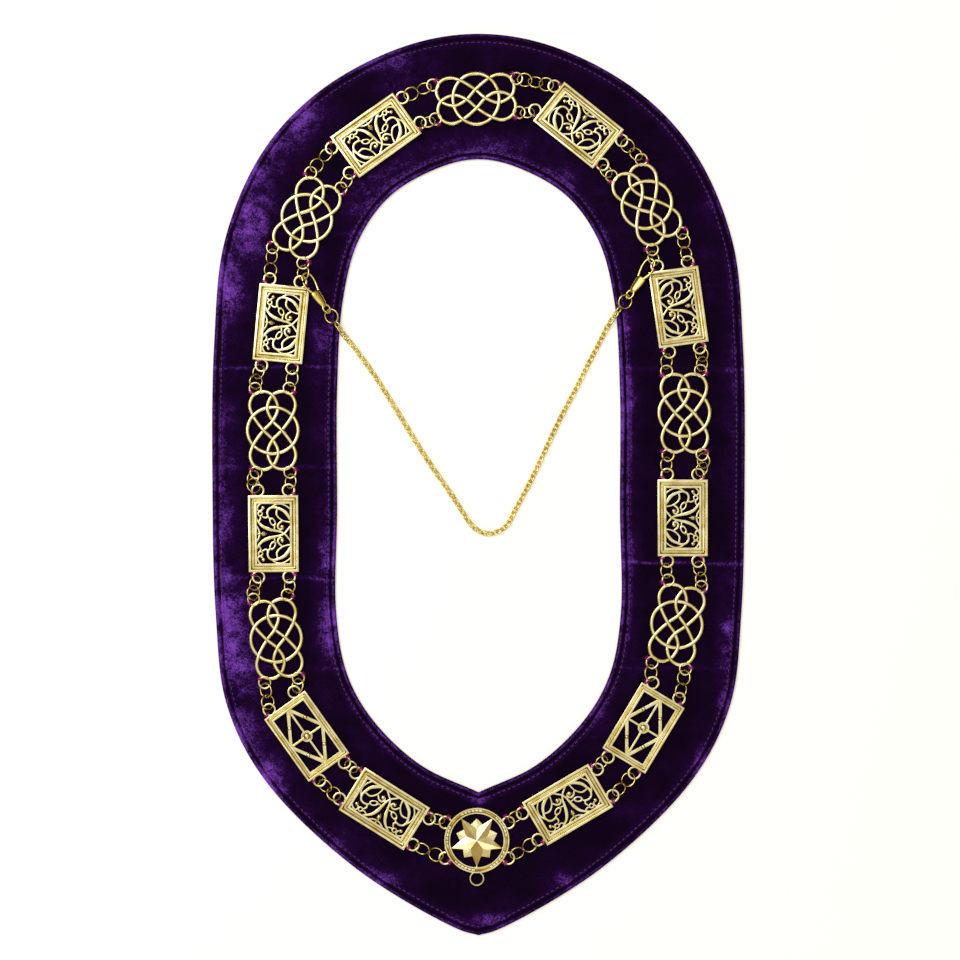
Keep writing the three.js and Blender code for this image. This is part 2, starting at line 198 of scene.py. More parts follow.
def copy_to(template, name, matrix):
    """A copy of a piece with its own mesh, moved inside the mesh."""
    made = template.copy()
    made.data = template.data.copy()
    made.name = made.data.name = name
    bpy.context.scene.collection.objects.link(made)
    made.data.transform(matrix)
    return made


def remove(obj):
    mesh = obj.data
    bpy.data.objects.remove(obj)
    bpy.data.meshes.remove(mesh)


def scatter(template, matrices, name):
    """One mesh of many small copies."""
    points = [vertex.co.copy() for vertex in template.data.vertices]
    faces = [tuple(face.vertices) for face in template.data.polygons]
    vertices, polygons = [], []
    for matrix in matrices:
        start = len(vertices)
        vertices += [matrix @ point for point in points]
        polygons += [tuple(start + index for index in face) for face in faces]
    mesh = bpy.data.meshes.new(name)
    mesh.from_pydata(vertices, [], polygons)
    made = bpy.data.objects.new(name, mesh)
    bpy.context.scene.collection.objects.link(made)
    return made


def dress(obj, material, slot, *nodes):
    """Gives a finished piece its material and its body, and hides the solids that it stands for."""
    obj.data.materials.clear()
    obj.data.materials.append(material)
    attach(obj, BODY)
    if nodes:
        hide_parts(*nodes)
    return obj


def catmull(p0, p1, p2, p3, share):
    """A point between p1 and p2 on a centripetal curve through four points."""
    d0, d1, d2 = (max((b - a).length, 1e-6) ** 0.5 for a, b in ((p0, p1), (p1, p2), (p2, p3)))
    t1 = ((p1 - p0) / d0 - (p2 - p0) / (d0 + d1) + (p2 - p1) / d1) * d1
    t2 = ((p2 - p1) / d1 - (p3 - p1) / (d1 + d2) + (p3 - p2) / d2) * d1
    s2, s3 = share * share, share ** 3
    return (p1 * (2 * s3 - 3 * s2 + 1) + t1 * (s3 - 2 * s2 + share)
            + p2 * (3 * s2 - 2 * s3) + t2 * (s3 - s2))


def smooth(points, steps, closed=False, fine=12):
    """Evenly spaced points on a smooth curve through the given ones."""
    places = [Vector((*point, 0, 0)[:3]) for point in points]
    if closed:
        places = [places[-1], *places, places[0], places[1]]
    else:
        places = [places[0] * 2 - places[1], *places, places[-1] * 2 - places[-2]]
    line = [catmull(*places[k:k + 4], j / fine) for k in range(len(places) - 3) for j in range(fine)]
    line.append(places[-2])
    lengths = [0.0]
    for a, b in zip(line, line[1:]):
        lengths.append(lengths[-1] + (b - a).length)
    made, at = [], 0
    for k in range(steps if closed else steps + 1):
        want = lengths[-1] * k / steps
        while at < len(line) - 2 and lengths[at + 1] < want:
            at += 1
        span = lengths[at + 1] - lengths[at]
        made.append(line[at].lerp(line[at + 1], (want - lengths[at]) / span if span else 0))
    return made


def radius_at(radii, share):
    """The radius at a share of a wire's length, eased from each given radius to the next."""
    if not isinstance(radii, list):
        return radii
    at = share * (len(radii) - 1)
    low = min(int(at), len(radii) - 2)
    ease = (at - low) ** 2 * (3 - 2 * (at - low))
    return radii[low] + (radii[low + 1] - radii[low]) * ease


def wires(name, strands, sides=2):
    """Round wires along lines of points, in millimetres, each with its own radii.

    A strand is (points, radius or list of radii, closed).
    """
    data = bpy.data.curves.new(name, "CURVE")
    data.dimensions, data.bevel_depth, data.bevel_resolution = "3D", MM, sides
    data.use_fill_caps = True
    for points, radii, closed in strands:
        spline = data.splines.new("POLY")
        spline.points.add(len(points) - 1)
        for k, point in enumerate(points):
            spline.points[k].co = (*(point * MM), 1)
            spline.points[k].radius = radius_at(radii, k / (len(points) - 1))
        spline.use_cyclic_u = closed
    made = bpy.data.objects.new(name, data)
    bpy.context.scene.collection.objects.link(made)
    pick(made)
    bpy.ops.object.convert(target="MESH")
    return bpy.context.object


def cast(obj, level, crown=0.55, root=1.2):
    """Shapes round bars as a casting's: low crowns above a level, in millimetres, and deep roots."""
    for vertex in obj.data.vertices:
        above = vertex.co.z - level * MM
        vertex.co.z = level * MM + above * (crown if above > 0 else root)


def torus(radius, wire, location=(0, 0, 0), steps=28, sides=8):
    bpy.ops.mesh.primitive_torus_add(
        major_radius=radius * MM, minor_radius=wire * MM, major_segments=steps,
        minor_segments=sides, location=Vector(location) * MM)
    return settle(bpy.context.object)


def ball(radius, location, flat=1.0, steps=12, rings=8):
    bpy.ops.mesh.primitive_uv_sphere_add(
        segments=steps, ring_count=rings, radius=radius * MM, location=Vector(location) * MM)
    bpy.context.object.scale.z = flat
    return settle(bpy.context.object)


# ------------------------------------------------------------------- materials


def add(tree, kind, inputs=None, stops=None, **settings):
    """Adds one node with its settings, the stops of its ramp, and its values and links."""
    made = tree.nodes.new(kind)
    for key, value in settings.items():
        setattr(made, key, value)
    if stops:
        elements = made.color_ramp.elements
        while len(elements) < len(stops):
            elements.new(1)
        for element, (position, tone) in zip(elements, stops):
            element.position, element.color = position, tone
    for key, value in (inputs or {}).items():
        if isinstance(value, bpy.types.NodeSocket):
            tree.links.new(value, made.inputs[key])
        else:
            made.inputs[key].default_value = value
    return made


def new_material(name):
    material = bpy.data.materials.new(name)
    material.use_nodes = True
    material.node_tree.nodes.clear()
    return material, material.node_tree


def grey(value):
    return (value, value, value, 1)


def crushed_velvet(settings):
    """Polyester velvet, woven and then crushed: dark where the pile stands, bright where it lies.

    The attribute read here says how crushed the pile is, and also carries painted highlights on the
    rolled edges, stitch ridges and folds and painted shade in the seams. Blotches of 6 mm and curds
    of 2 mm break it up, and tufts of 0.7 mm, coarser than real ones so that they show, give it grain.
    """
    material, tree = new_material("crushed_velvet")
    place = add(tree, "ShaderNodeTexCoord").outputs["Object"]
    # The crush attribute also holds painted highlights and painted shade along the edges, seams and folds.
    crush_and_painted_light = add(tree, "ShaderNodeAttribute", attribute_name="crush_and_painted_light").outputs["Fac"]
    blotch = add(tree, "ShaderNodeTexNoise", {
        "Vector": place, "Scale": 1 / 0.006, "Detail": 4.0, "Roughness": 0.65, "Distortion": 0.6})
    curd = add(tree, "ShaderNodeTexNoise", {
        "Vector": place, "Scale": 1 / 0.0022, "Detail": 3.0, "Roughness": 0.7, "Distortion": 1.2})
    tuft = add(tree, "ShaderNodeTexNoise", {
        "Vector": place, "Scale": 1 / 0.0007, "Detail": 2.0, "Roughness": 0.6})
    both = add(tree, "ShaderNodeMath", {0: blotch.outputs["Fac"], 1: curd.outputs["Fac"]}, operation="ADD")
    swing = add(tree, "ShaderNodeMath", {0: both.outputs[0], 1: 1.6, 2: -0.97}, operation="MULTIPLY_ADD")
    patch = add(tree, "ShaderNodeMath", {0: swing.outputs[0], 1: crush_and_painted_light}, operation="MULTIPLY")
    depth = add(tree, "ShaderNodeMath", {0: crush_and_painted_light, 1: 1.7, 2: 0.15}, operation="MULTIPLY_ADD")
    speck = add(tree, "ShaderNodeMath", {0: tuft.outputs["Fac"], 1: -0.5}, operation="ADD")
    broken = add(tree, "ShaderNodeMath", {0: speck.outputs[0], 1: depth.outputs[0], 2: patch.outputs[0]},
                 operation="MULTIPLY_ADD")
    tone = add(tree, "ShaderNodeValToRGB", {"Fac": broken.outputs[0]}, stops=[
        (0.0, settings.pile), (0.3, settings.brushed), (1.0, settings.crushed)])
    bump = add(tree, "ShaderNodeBump", {
        "Height": tuft.outputs["Fac"], "Strength": 0.5, "Distance": 0.3 * MM})
    shader = add(tree, "ShaderNodeBsdfPrincipled", {
        "Base Color": tone.outputs["Color"], "Roughness": 0.9, "Specular IOR Level": 0.03,
        "Sheen Weight": 0.05, "Sheen Roughness": 0.4, "Sheen Tint": linear("#9a5fd6"),
        "Normal": bump.outputs["Normal"]})
    add(tree, "ShaderNodeOutputMaterial", {"Surface": shader.outputs[0]})
    return material


def thread(name, tone):
    """Twisted sewing thread: a soft shine broken up by the twist, about 0.5 mm long, with painted shade in
    the grooves between the turns of the twist.
    """
    material, tree = new_material(name)
    place = add(tree, "ShaderNodeTexCoord").outputs["Object"]
    twist = add(tree, "ShaderNodeTexWave", {
        "Vector": place, "Scale": 1 / 0.0015, "Distortion": 2.0}, bands_direction="DIAGONAL")
    # The darker tone is painted shade in the low grooves of the twist.
    dark = [c * 0.45 for c in tone[:3]] + [1]
    shade = add(tree, "ShaderNodeValToRGB", {"Fac": twist.outputs["Fac"]},
                stops=[(0.0, dark), (0.6, tone)])
    bump = add(tree, "ShaderNodeBump", {
        "Height": twist.outputs["Fac"], "Strength": 0.6, "Distance": 0.1 * MM})
    shader = add(tree, "ShaderNodeBsdfPrincipled", {
        "Base Color": shade.outputs["Color"], "Roughness": 0.6, "Specular IOR Level": 0.25,
        "Normal": bump.outputs["Normal"]})
    add(tree, "ShaderNodeOutputMaterial", {"Surface": shader.outputs[0]})
    return material


def gilt(name, tone, deeper, cast_grain, roughness, relief=0.05):
    """Brass with a thin bright gold plating, over the grain that casting or drawing left.

    The grain, in metres, breaks up the reflections, and clouds of 6 mm move the tone
    between two golds, as plating of uneven thickness does.
    """
    material, tree = new_material(name)
    place = add(tree, "ShaderNodeTexCoord").outputs["Object"]
    cloud = add(tree, "ShaderNodeTexNoise", {"Vector": place, "Scale": 1 / 0.006, "Detail": 3.0})
    grain = add(tree, "ShaderNodeTexNoise", {"Vector": place, "Scale": 1 / cast_grain, "Detail": 3.0})
    shade = add(tree, "ShaderNodeValToRGB", {"Fac": cloud.outputs["Fac"]},
                stops=[(0.3, deeper), (0.6, tone)])
    polish = add(tree, "ShaderNodeMapRange", {
        "Value": grain.outputs["Fac"], "To Min": roughness * 0.8, "To Max": roughness * 1.3})
    bump = add(tree, "ShaderNodeBump", {
        "Height": grain.outputs["Fac"], "Strength": 0.6, "Distance": relief * MM})
    shader = add(tree, "ShaderNodeBsdfPrincipled", {
        "Base Color": shade.outputs["Color"], "Metallic": 1.0, "Roughness": polish.outputs["Result"],
        "Normal": bump.outputs["Normal"]})
    add(tree, "ShaderNodeOutputMaterial", {"Surface": shader.outputs[0]})
    return material


def matt_paper(tone):
    """Matt white paper with a faint tooth of 2 mm, on a light table that washes out shadows."""
    material, tree = new_material("matt_paper")
    place = add(tree, "ShaderNodeTexCoord").outputs["Object"]
    tooth = add(tree, "ShaderNodeTexNoise", {"Vector": place, "Scale": 1 / 0.002})
    low = [c * 0.99 for c in tone[:3]] + [1]
    shade = add(tree, "ShaderNodeValToRGB", {"Fac": tooth.outputs["Fac"]}, stops=[(0.3, low), (0.7, tone)])
    shader = add(tree, "ShaderNodeBsdfPrincipled", {
        "Base Color": shade.outputs["Color"], "Roughness": 1.0, "Specular IOR Level": 0.0,
        "Emission Color": grey(1), "Emission Strength": 0.3})
    add(tree, "ShaderNodeOutputMaterial", {"Surface": shader.outputs[0]})
    return material


def shared(name, make, *values):
    """A material that several operators use, made the first time."""
    return bpy.data.materials.get(name) or make(*values)


def plate_gilt():
    """Gilt on a casting: pale, with a fine grain that blurs what it mirrors."""
    gold = bpy.context.scene.gilt
    return shared("gilt_casting", gilt, "gilt_casting", gold.casting, gold.shade, 0.0006, 0.16, 0.03)


def stippled_gilt():
    """Gilt on punched metal: many small dents that each catch the light."""
    gold = bpy.context.scene.gilt
    return shared("gilt_stippled", gilt, "gilt_stippled", gold.casting, gold.shade, 0.0005, 0.2, 0.35)


def wire_gilt():
    """Gilt on drawn wire and polished fittings: yellower, and smooth enough for sharp glints."""
    gold = bpy.context.scene.gilt
    return shared("gilt_drawn", gilt, "gilt_drawn", gold.wire, gold.wire_shade, 0.0009, 0.16, 0.02)


# ----------------------------------------------------------- velvet and sewing


class Band:
    """The collar's band as rows across it, from its outer edge to its inner edge."""

    steps = 500

    def __init__(self):
        self.outer = self.loop(OUTER_EDGE)
        self.inner = self.loop(INNER_EDGE)
        self.outer_in = self.inwards(self.outer, 1)
        self.inner_in = self.inwards(self.inner, -1)

    def loop(self, half):
        """A whole outline, clockwise from the point in front."""
        left = [(-x, y) for x, y in reversed(half[1:])]
        return smooth(left + half, 2 * self.steps)[:-1]

    def inwards(self, loop, side):
        """Directions from an edge into the cloth, turned smoothly at the points."""
        count = len(loop)
        flat = []
        for k in range(count):
            along = (loop[(k + 1) % count] - loop[k - 1]).normalized()
            flat.append(Vector((along.y, -along.x, 0)) * side)
        return [sum((flat[(k + j) % count] for j in range(-3, 4)), Vector()).normalized()
                for k in range(count)]

    def point(self, k, depth):
        """A place on row k at a distance from the outer edge, or if negative the inner."""
        start, end = self.outer[k], self.inner[k]
        width = (end - start).length
        share = depth / width if depth >= 0 else 1 + depth / width
        t0, t1 = self.outer_in[k] * width, -self.inner_in[k] * width
        s2, s3 = share * share, share ** 3
        return (start * (2 * s3 - 3 * s2 + 1) + t0 * (s3 - 2 * s2 + share)
                + end * (3 * s2 - 2 * s3) + t1 * (s3 - s2))

    def width(self, k):
        return (self.inner[k] - self.outer[k]).length


# The turned-in edge in section: distance from the edge, height above the floor. It rolls
# over, dips into the seam, and dips again where the topstitching pulls it down.
HEM = [
    (1.6, 0), (0.6, 0.15), (0.12, 0.7), (0, 1.35), (0.15, 2.0), (0.6, 2.5), (1.3, 2.75), (2.0, 2.65),
    (2.6, 2.25), (3.0, 1.8), (3.3, 1.65), (3.7, 1.95), (4.2, 2.3), (4.7, 2.3), (5.2, 2.0), (5.7, 2.3),
    (6.4, 2.5),
]
SURFACE = 2.45
COLUMNS = 44
# The cloth above the first height can crease. It rises to the second along the hem, and
# elsewhere to the third, which is just below the castings.
LOOSE_ABOVE, HEM_TOP, CLOTH_TOP = 1.5, 2.95, 2.62
# The folds start this far from the middle of the collar.
CREASE_START = 60
# The inner edge's painted highlights and painted shade are this many times as strong as the outer edge's.
INNER_EDGE_LIGHT_SCALE = 1.35
STITCH_HEIGHT = 2.16
# Folds pressed across the band in packing: side of the collar, height along it, depth.
CREASES = [
    (-1, 68.7, 0.5), (-1, 9.3, 0.4), (-1, -57.9, 0.45), (1, -48.9, 0.7), (1, 68, 0.3), (1, 118, 0.25),
    (-1, 150, 0.25), (1, -112, 0.25), (-1, -112, 0.3),
]
# Where the pile is crushed bright: centre, reach along X and Y, strength.
CRUSHED = [
    ((-132, 205), (17, 20), 0.62), ((-139, 163), (15, 28), 0.8), ((-150, 125), (11, 30), 0.6),
    ((-108, 222), (17, 14), 0.85), ((-66, 168), (14, 14), 0.3), ((-60, 256), (40, 8), 0.3),
    ((-147, -90), (13, 34), 0.68),
    ((-148, -140), (14, 30), 0.75), ((-130, -182), (20, 24), 0.68), ((-90, -222), (24, 16), 0.35),
    ((-152, 20), (9, 60), 0.36), ((-154, -40), (7, 40), 0.45), ((0, 203), (44, 9), 0.5),
    ((-52, 186), (18, 9), 0.42), ((48, 184), (16, 8), 0.35), ((-95, 95), (7, 60), 0.34),
    ((-91, -62), (7, 50), 0.55), ((90, -30), (6, 70), 0.38), ((88, 60), (6, 60), 0.32),
    ((152, 60), (5, 90), 0.22), ((148, -112), (5, 40), 0.6), ((0, -262), (20, 4.5), 0.6),
    ((54, -238), (20, 5), 0.34), ((-58, -237), (20, 5.5), 0.45), ((112, -198), (26, 12), 0.22),
    ((62, 253), (38, 6), 0.22), ((128, 215), (20, 14), 0.2), ((-62, -152), (18, 9), 0.2),
    ((0, -190), (5, 4), 0.5), ((134, -164), (5, 20), 0.3), ((-72, 150), (9, 26), 0.3),
    ((70, 152), (9, 26), 0.28), ((72, -128), (10, 18), 0.26), ((-45, 237), (25, 8), 0.25),
    ((140, 150), (9, 30), 0.18),
]


def crease_at(x, y):
    """Height that the pressed folds add at a place, and the painted highlight along the side of each fold.
    """
    height = glint = 0.0
    for side, level, depth in CREASES:
        if side * x < CREASE_START:
            continue
        line = level + 2.5 * noise.noise(Vector((x * 0.03, level, 0)))
        away = y - line
        height -= depth * math.exp(-((away / 1.0) ** 2))
        height += depth * 0.5 * math.exp(-(((away - 2.4) / 1.6) ** 2))
        # Painted highlight on the slope beside each fold.
        glint += depth * math.exp(-(((away - 1.6) / 0.9) ** 2))
    return height, glint


def nap_at(x, y):
    """How far the pile is crushed at a place, from 0 to about 1."""
    amount = 0.03
    for (cx, cy), (rx, ry), strength in CRUSHED:
        amount += strength * math.exp(-(((x - cx) / rx) ** 2 + ((y - cy) / ry) ** 2))
    cloud = noise.fractal(Vector((x, y, 0)) * 0.05, 0.9, 2.0, 4)
    streak = noise.noise(Vector((x * 0.02, y * 0.12, 7)))
    return max(0.0, 0.95 * amount * (1 + 1.1 * cloud) + 0.07 * max(0.0, cloud) + 0.05 * streak)


def velvet_columns(width):
    """Distances across a row: the hem, the middle, and the hem again from the inner edge."""
    start = HEM[-1][0]
    middle = [start + (width - 2 * start) * (k + 1) / (COLUMNS + 1) for k in range(COLUMNS)]
    rows = HEM + [(depth, SURFACE) for depth in middle]
    rows += [(-depth if depth else -1e-9, height) for depth, height in reversed(HEM)]
    return rows


def velvet_point(band, k, depth, height):
    place = band.point(k, depth)
    if height > LOOSE_ABOVE:
        fold, _ = crease_at(place.x, place.y)
        swell = noise.fractal(Vector((place.x, place.y, 3)) * 0.045, 1.0, 2.0, 3)
        fine = noise.noise(Vector((place.x, place.y, 9)) * 0.35)
        height = min(height + 0.55 * fold + 0.14 * swell + 0.05 * fine, HEM_TOP)
        if abs(depth) > HEM[-1][0]:
            height = min(height, CLOTH_TOP)
    return Vector((place.x, place.y, height)) * MM


def crush_and_painted_light_at(place, depth):
    """The pile's crush at a point of the cloth, with painted highlights on the crests of the rolled edges,
    the stitch ridges and the folds, and painted shade in the seams.
    """
    x, y = place.x / MM, place.y / MM
    near = abs(depth)
    # Painted highlight on the crest of the roll, and painted shade in the seam beside it.
    edge = 0.5 * math.exp(-((near - 1.2) / 1.0) ** 2) - 0.4 * math.exp(-((near - 3.2) / 0.6) ** 2)
    # Painted highlights on the ridges beside the topstitching.
    ridge_highlight = 0.4 * math.exp(-((near - 4.4) / 0.45) ** 2) + 0.2 * math.exp(-((near - 6.6) / 1.2) ** 2)
    # The inner edge gets stronger painted highlights and painted shade.
    inner_light_scale = INNER_EDGE_LIGHT_SCALE if depth < 0 else 1.0
    return max(0.0, nap_at(x, y) + inner_light_scale * (edge + ridge_highlight) + crease_at(x, y)[1])


class CHAIN_OT_velvet(bpy.types.Operator):
    """Makes the velvet collar with its rolled edges, seams and pressed folds"""

    bl_idname = "chain.velvet"
    bl_label = "Velvet collar"

    def execute(self, context):
        settings = context.scene.velvet
        band = Band()
        points, crush_and_painted_light_values = [], []
        rows = len(band.outer)
        for k in range(rows):
            for depth, height in velvet_columns(band.width(k)):
                place = velvet_point(band, k, depth, height)
                points.append(place)
                # Each point's crush, with painted highlights and painted shade along the edges, seams and
                # folds.
                crush_and_painted_light_values.append(crush_and_painted_light_at(place, depth))
        across = len(points) // rows
        faces = []
        for k in range(rows):
            here, there = k * across, (k + 1) % rows * across
            for j in range(across):
                side = (j + 1) % across
                faces.append((here + j, there + j, there + side, here + side))
        mesh = bpy.data.meshes.new("velvet_collar")
        mesh.from_pydata(points, [], faces)
        # Stores the crush together with the painted highlights and painted shade.
        mesh.attributes.new("crush_and_painted_light", "FLOAT", "POINT").data.foreach_set("value", crush_and_painted_light_values)
        velvet = bpy.data.objects.new("velvet_collar", mesh)
        context.scene.collection.objects.link(velvet)
        pick(velvet)
        bpy.ops.object.mode_set(mode="EDIT")
        bpy.ops.mesh.select_all(action="SELECT")
        bpy.ops.mesh.normals_make_consistent(inside=False)
        bpy.ops.object.mode_set(mode="OBJECT")
        bpy.ops.object.shade_smooth()
        dress(velvet, crushed_velvet(settings), "velvet", "velvet_backing")
        return {"FINISHED"}


def stitch_places(band, depth, pitch, seed):
    """Frames of the stitches along a line at a distance from an edge."""
    line = [band.point(k, depth) for k in range(len(band.outer))]
    line.append(line[0])
    draw = random.Random(seed)
    made, left = [], 0.0
    for a, b in zip(line, line[1:]):
        span = (b - a).length
        along = (b - a).normalized()
        while left < span:
            place = a + along * left
            turn = math.atan2(along.y, along.x) + draw.uniform(-0.06, 0.06)
            height = STITCH_HEIGHT + 0.4 * crease_at(place.x, place.y)[0] + draw.uniform(-0.04, 0.06)
            made.append(Matrix.Translation(Vector((place.x, place.y, height)) * MM)
                        @ Matrix.Rotation(turn, 4, "Z")
                        @ Matrix.Diagonal((draw.uniform(0.85, 1.1), 1, 1, 1)))
            left += pitch * draw.uniform(0.93, 1.07)
        left -= span
    return made


class CHAIN_OT_stitching(bpy.types.Operator):
    """Makes the topstitching along both edges of the collar"""

    bl_idname = "chain.stitching"
    bl_label = "Topstitching"

    def execute(self, context):
        settings = context.scene.velvet
        band = Band()
        stitch = ball(1, (0, 0, 0), steps=6, rings=6)
        stitch.data.transform(Matrix.Rotation(math.pi / 2, 4, "Y"))
        for vertex in stitch.data.vertices:
            vertex.co.x = math.copysign(abs(vertex.co.x / MM) ** 0.7 * MM, vertex.co.x)
        stitch.data.transform(Matrix.Diagonal((1.15, 0.33, 0.33, 1)))
        inset, pitch = settings.seam / MM, settings.pitch / MM
        places = stitch_places(band, inset, pitch, 3) + stitch_places(band, -inset, pitch, 4)
        stitching = scatter(stitch, places, "topstitching")
        remove(stitch)
        soften(stitching, 180)
        dress(stitching, thread("polyester_thread", settings.thread), "velvet")
        return {"FINISHED"}


# ----------------------------------------------------------------- link plates


def plate_matrix(node):
    """A plate's place from its solid: the middle, X along it and Y away from the neck."""
    low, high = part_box(node)
    middle = (low + high) / 2
    middle.z = 0
    if node == "star_medallion":
        middle.y = high.y - MEDALLION["outer"] * MM
        return Matrix.Translation(middle) @ Matrix.Rotation(math.pi, 4, "Z")
    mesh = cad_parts[node].data
    xx = yy = xy = 0.0
    for face in mesh.polygons:
        corners = [mesh.vertices[k].co - middle for k in face.vertices]
        centre = sum(corners, Vector()) / 3
        for point, weight in [(corner, 1) for corner in corners] + [(centre, 9)]:
            xx += face.area * weight * point.x * point.x
            yy += face.area * weight * point.y * point.y
            xy += face.area * weight * point.x * point.y
    turn = 0.5 * math.atan2(2 * xy, xx - yy)
    outwards = Vector((-math.sin(turn), math.cos(turn), 0))
    if outwards.dot(middle) < 0:
        turn += math.pi
    return Matrix.Translation(middle) @ Matrix.Rotation(turn, 4, "Z")


def plates():
    """Every plate's node and place, clockwise from the back of the neck."""
    kinds = ("knot_plate", "filigree_plaque", "lozenge_plaque", "star_medallion")
    found = [(node, plate_matrix(node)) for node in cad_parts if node.startswith(kinds)]

    def clockwise(entry):
        place = entry[1].translation
        return (math.atan2(place.x, place.y) + 0.1) % math.tau

    return sorted(found, key=clockwise)


def eye_of(node):
    kinds = {"knot": KNOT_EYE, "star": MEDALLION_EYE}
    return kinds.get(node[:4], PLAQUE_EYE)


def four_eyes(eye):
    eyes = [torus(EYE["radius"], EYE["wire"], (end * eye[0], side * eye[1], EYE_LEVEL))
            for end in (1, -1) for side in (1, -1)]
    for ring in eyes:
        cast(ring, EYE_LEVEL, 0.7, 1.0)
    return eyes


SLIT = 0.8


def moulded_frame(border, rib):
    """A mitred frame: two flat ribs, slopes down between them to a dark slit, edges eased."""
    bpy.ops.mesh.primitive_plane_add(size=MM, location=(0, 0, PLATE_BASE * MM))
    made = bpy.context.object
    made.scale = (PLAQUE["length"], PLAQUE["width"], 1)
    settle(made)
    bpy.ops.object.mode_set(mode="EDIT")
    bpy.ops.mesh.select_all(action="SELECT")
    bpy.ops.mesh.inset(thickness=border * MM)
    bpy.ops.mesh.delete(type="FACE")
    bpy.ops.mesh.select_all(action="SELECT")
    bpy.ops.mesh.extrude_region_move(
        TRANSFORM_OT_translate={"value": (0, 0, PLAQUE["height"] * MM)})
    bpy.ops.mesh.inset(thickness=rib * MM)
    bpy.ops.mesh.inset(thickness=(border - 2 * rib - SLIT) / 2 * MM, depth=-0.8 * MM)
    bpy.ops.mesh.inset(thickness=0.06 * MM, depth=-1.6 * MM)
    bpy.ops.mesh.select_all(action="SELECT")
    bpy.ops.mesh.normals_make_consistent(inside=False)
    bpy.ops.object.mode_set(mode="OBJECT")
    apply_modifier(made, "BEVEL", width=0.15 * MM, segments=2, limit_method="ANGLE")
    return made


# The scroll pattern's right half, in millimetres [along, outwards]; the left is its mirror
# image. Each bar has its points and its thickness along them.
SCROLLS = [
    ([(9.1, 10.2), (6.5, 8.5), (4.4, 6.4), (2.7, 2.7), (1.8, -0.9), (1.1, -4.2), (0, -6.4),
      (-2.4, -8.6), (-5, -10.8)], [1.4, 1.9, 2.6, 2.9, 2.1, 1.6, 1.5, 1.4, 1.6]),
    ([(6.9, -10.6), (10.5, -8.9), (13.5, -6.4), (15.1, -3.1), (15.8, 0), (14.8, 2.6), (12.6, 3.6),
      (9.9, 3.0), (8.9, 1.9)], [1.5, 2.3, 2.8, 2.5, 2.0, 1.7, 1.7, 1.6, 1.2]),
    ([(5.0, -0.8), (3.2, -0.6), (1.9, -0.4)], [1.1, 1.1, 1.0]),
    ([(14.6, -2.2), (11.2, -2.0), (8.2, -4.9), (7.0, -8.4), (6.9, -10.6)], [1.4, 1.5, 1.3, 1.1, 1.4]),
    ([(7.6, -5.2), (5.8, -3.1), (3.7, -2.7), (2.5, -4.0), (3.0, -5.4), (4.1, -5.5)],
     [1.3, 1.5, 1.5, 1.4, 1.4, 1.6]),
    ([(14.2, -10.8), (16.7, -7.5), (17.8, -4.5), (17.5, -1.6), (16, 0.9)], [1.2, 1.2, 1.2, 1.2, 1.2]),
    ([(10.2, 3.3), (9.5, 4.9), (10.5, 6.9)], [1.6, 1.3, 1.1]),
    ([(10.8, 8.2), (9.2, 7.7), (7.2, 8.9)], [1.2, 1.2, 1.3]),
    ([(18.7, 6.6), (17.3, 8.6), (14.9, 9.7), (13.6, 8.6), (14.2, 7.0), (15.4, 6.3)],
     [1.2, 1.3, 1.3, 1.2, 1.3, 1.5]),
    ([(5.1, 10.6), (2.6, 8.9), (0.2, 8.3)], [1.6, 1.2, 1.3]),
    ([(0, 10.8), (0, 8.4), (0, 7.0), (0, 5.8), (0, 4.6), (0, 4.0)], [3.0, 1.5, 1.7, 3.2, 2.8, 1.0]),
]
SMALL_RINGS = [(12, 7.9, 1.25, 0.5), (7.1, 0.5, 1.6, 0.55)]
BERRIES = [(4.1, -5.2, 1.3), (15.6, 6.2, 1.2)]
SCROLL_LEVEL = 1.6
# A bar's radius as a share of the thickness given for it.
BAR_SHARE = 0.44


def scrollwork():
    """The openwork inside a plaque: scrolls, leaves, small rings and berries."""
    level = PLATE_BASE + SCROLL_LEVEL
    strands = []
    for mirror in (1, -1):
        for points, widths in SCROLLS:
            line = [Vector((mirror * p.x, p.y, level)) for p in smooth(points, len(points) * 5)]
            strands.append((line, [width * BAR_SHARE for width in widths], False))
    bars = wires("scrolls", strands, sides=2)
    cast(bars, level)
    extras = []
    for mirror in (1, -1):
        for x, y, radius, wire in SMALL_RINGS:
            ring = torus(radius, wire, (mirror * x, y, level), 16, 8)
            if radius > 1.4:
                middle = Matrix.Translation(Vector((mirror * x, y, 0)) * MM)
                back = Matrix.Translation(Vector((-mirror * x, -y, 0)) * MM)
                ring.data.transform(middle @ Matrix.Rotation(mirror * 0.5, 4, "Z")
                                    @ Matrix.Diagonal((1.45, 0.85, 1, 1)) @ back)
            extras.append(ring)
        extras += [ball(r, (mirror * x, y, level), 0.8, 16) for x, y, r in BERRIES]
    for extra in extras:
        cast(extra, level, 0.7, 1.0)
    return [bars, *extras]


def filigree_template():
    made = join([moulded_frame(5.1, 1.3), *scrollwork(), *four_eyes(PLAQUE_EYE)], "filigree")
    soften(made)
    return made


BOSS = {"radius": 3.4, "height": 1.9}


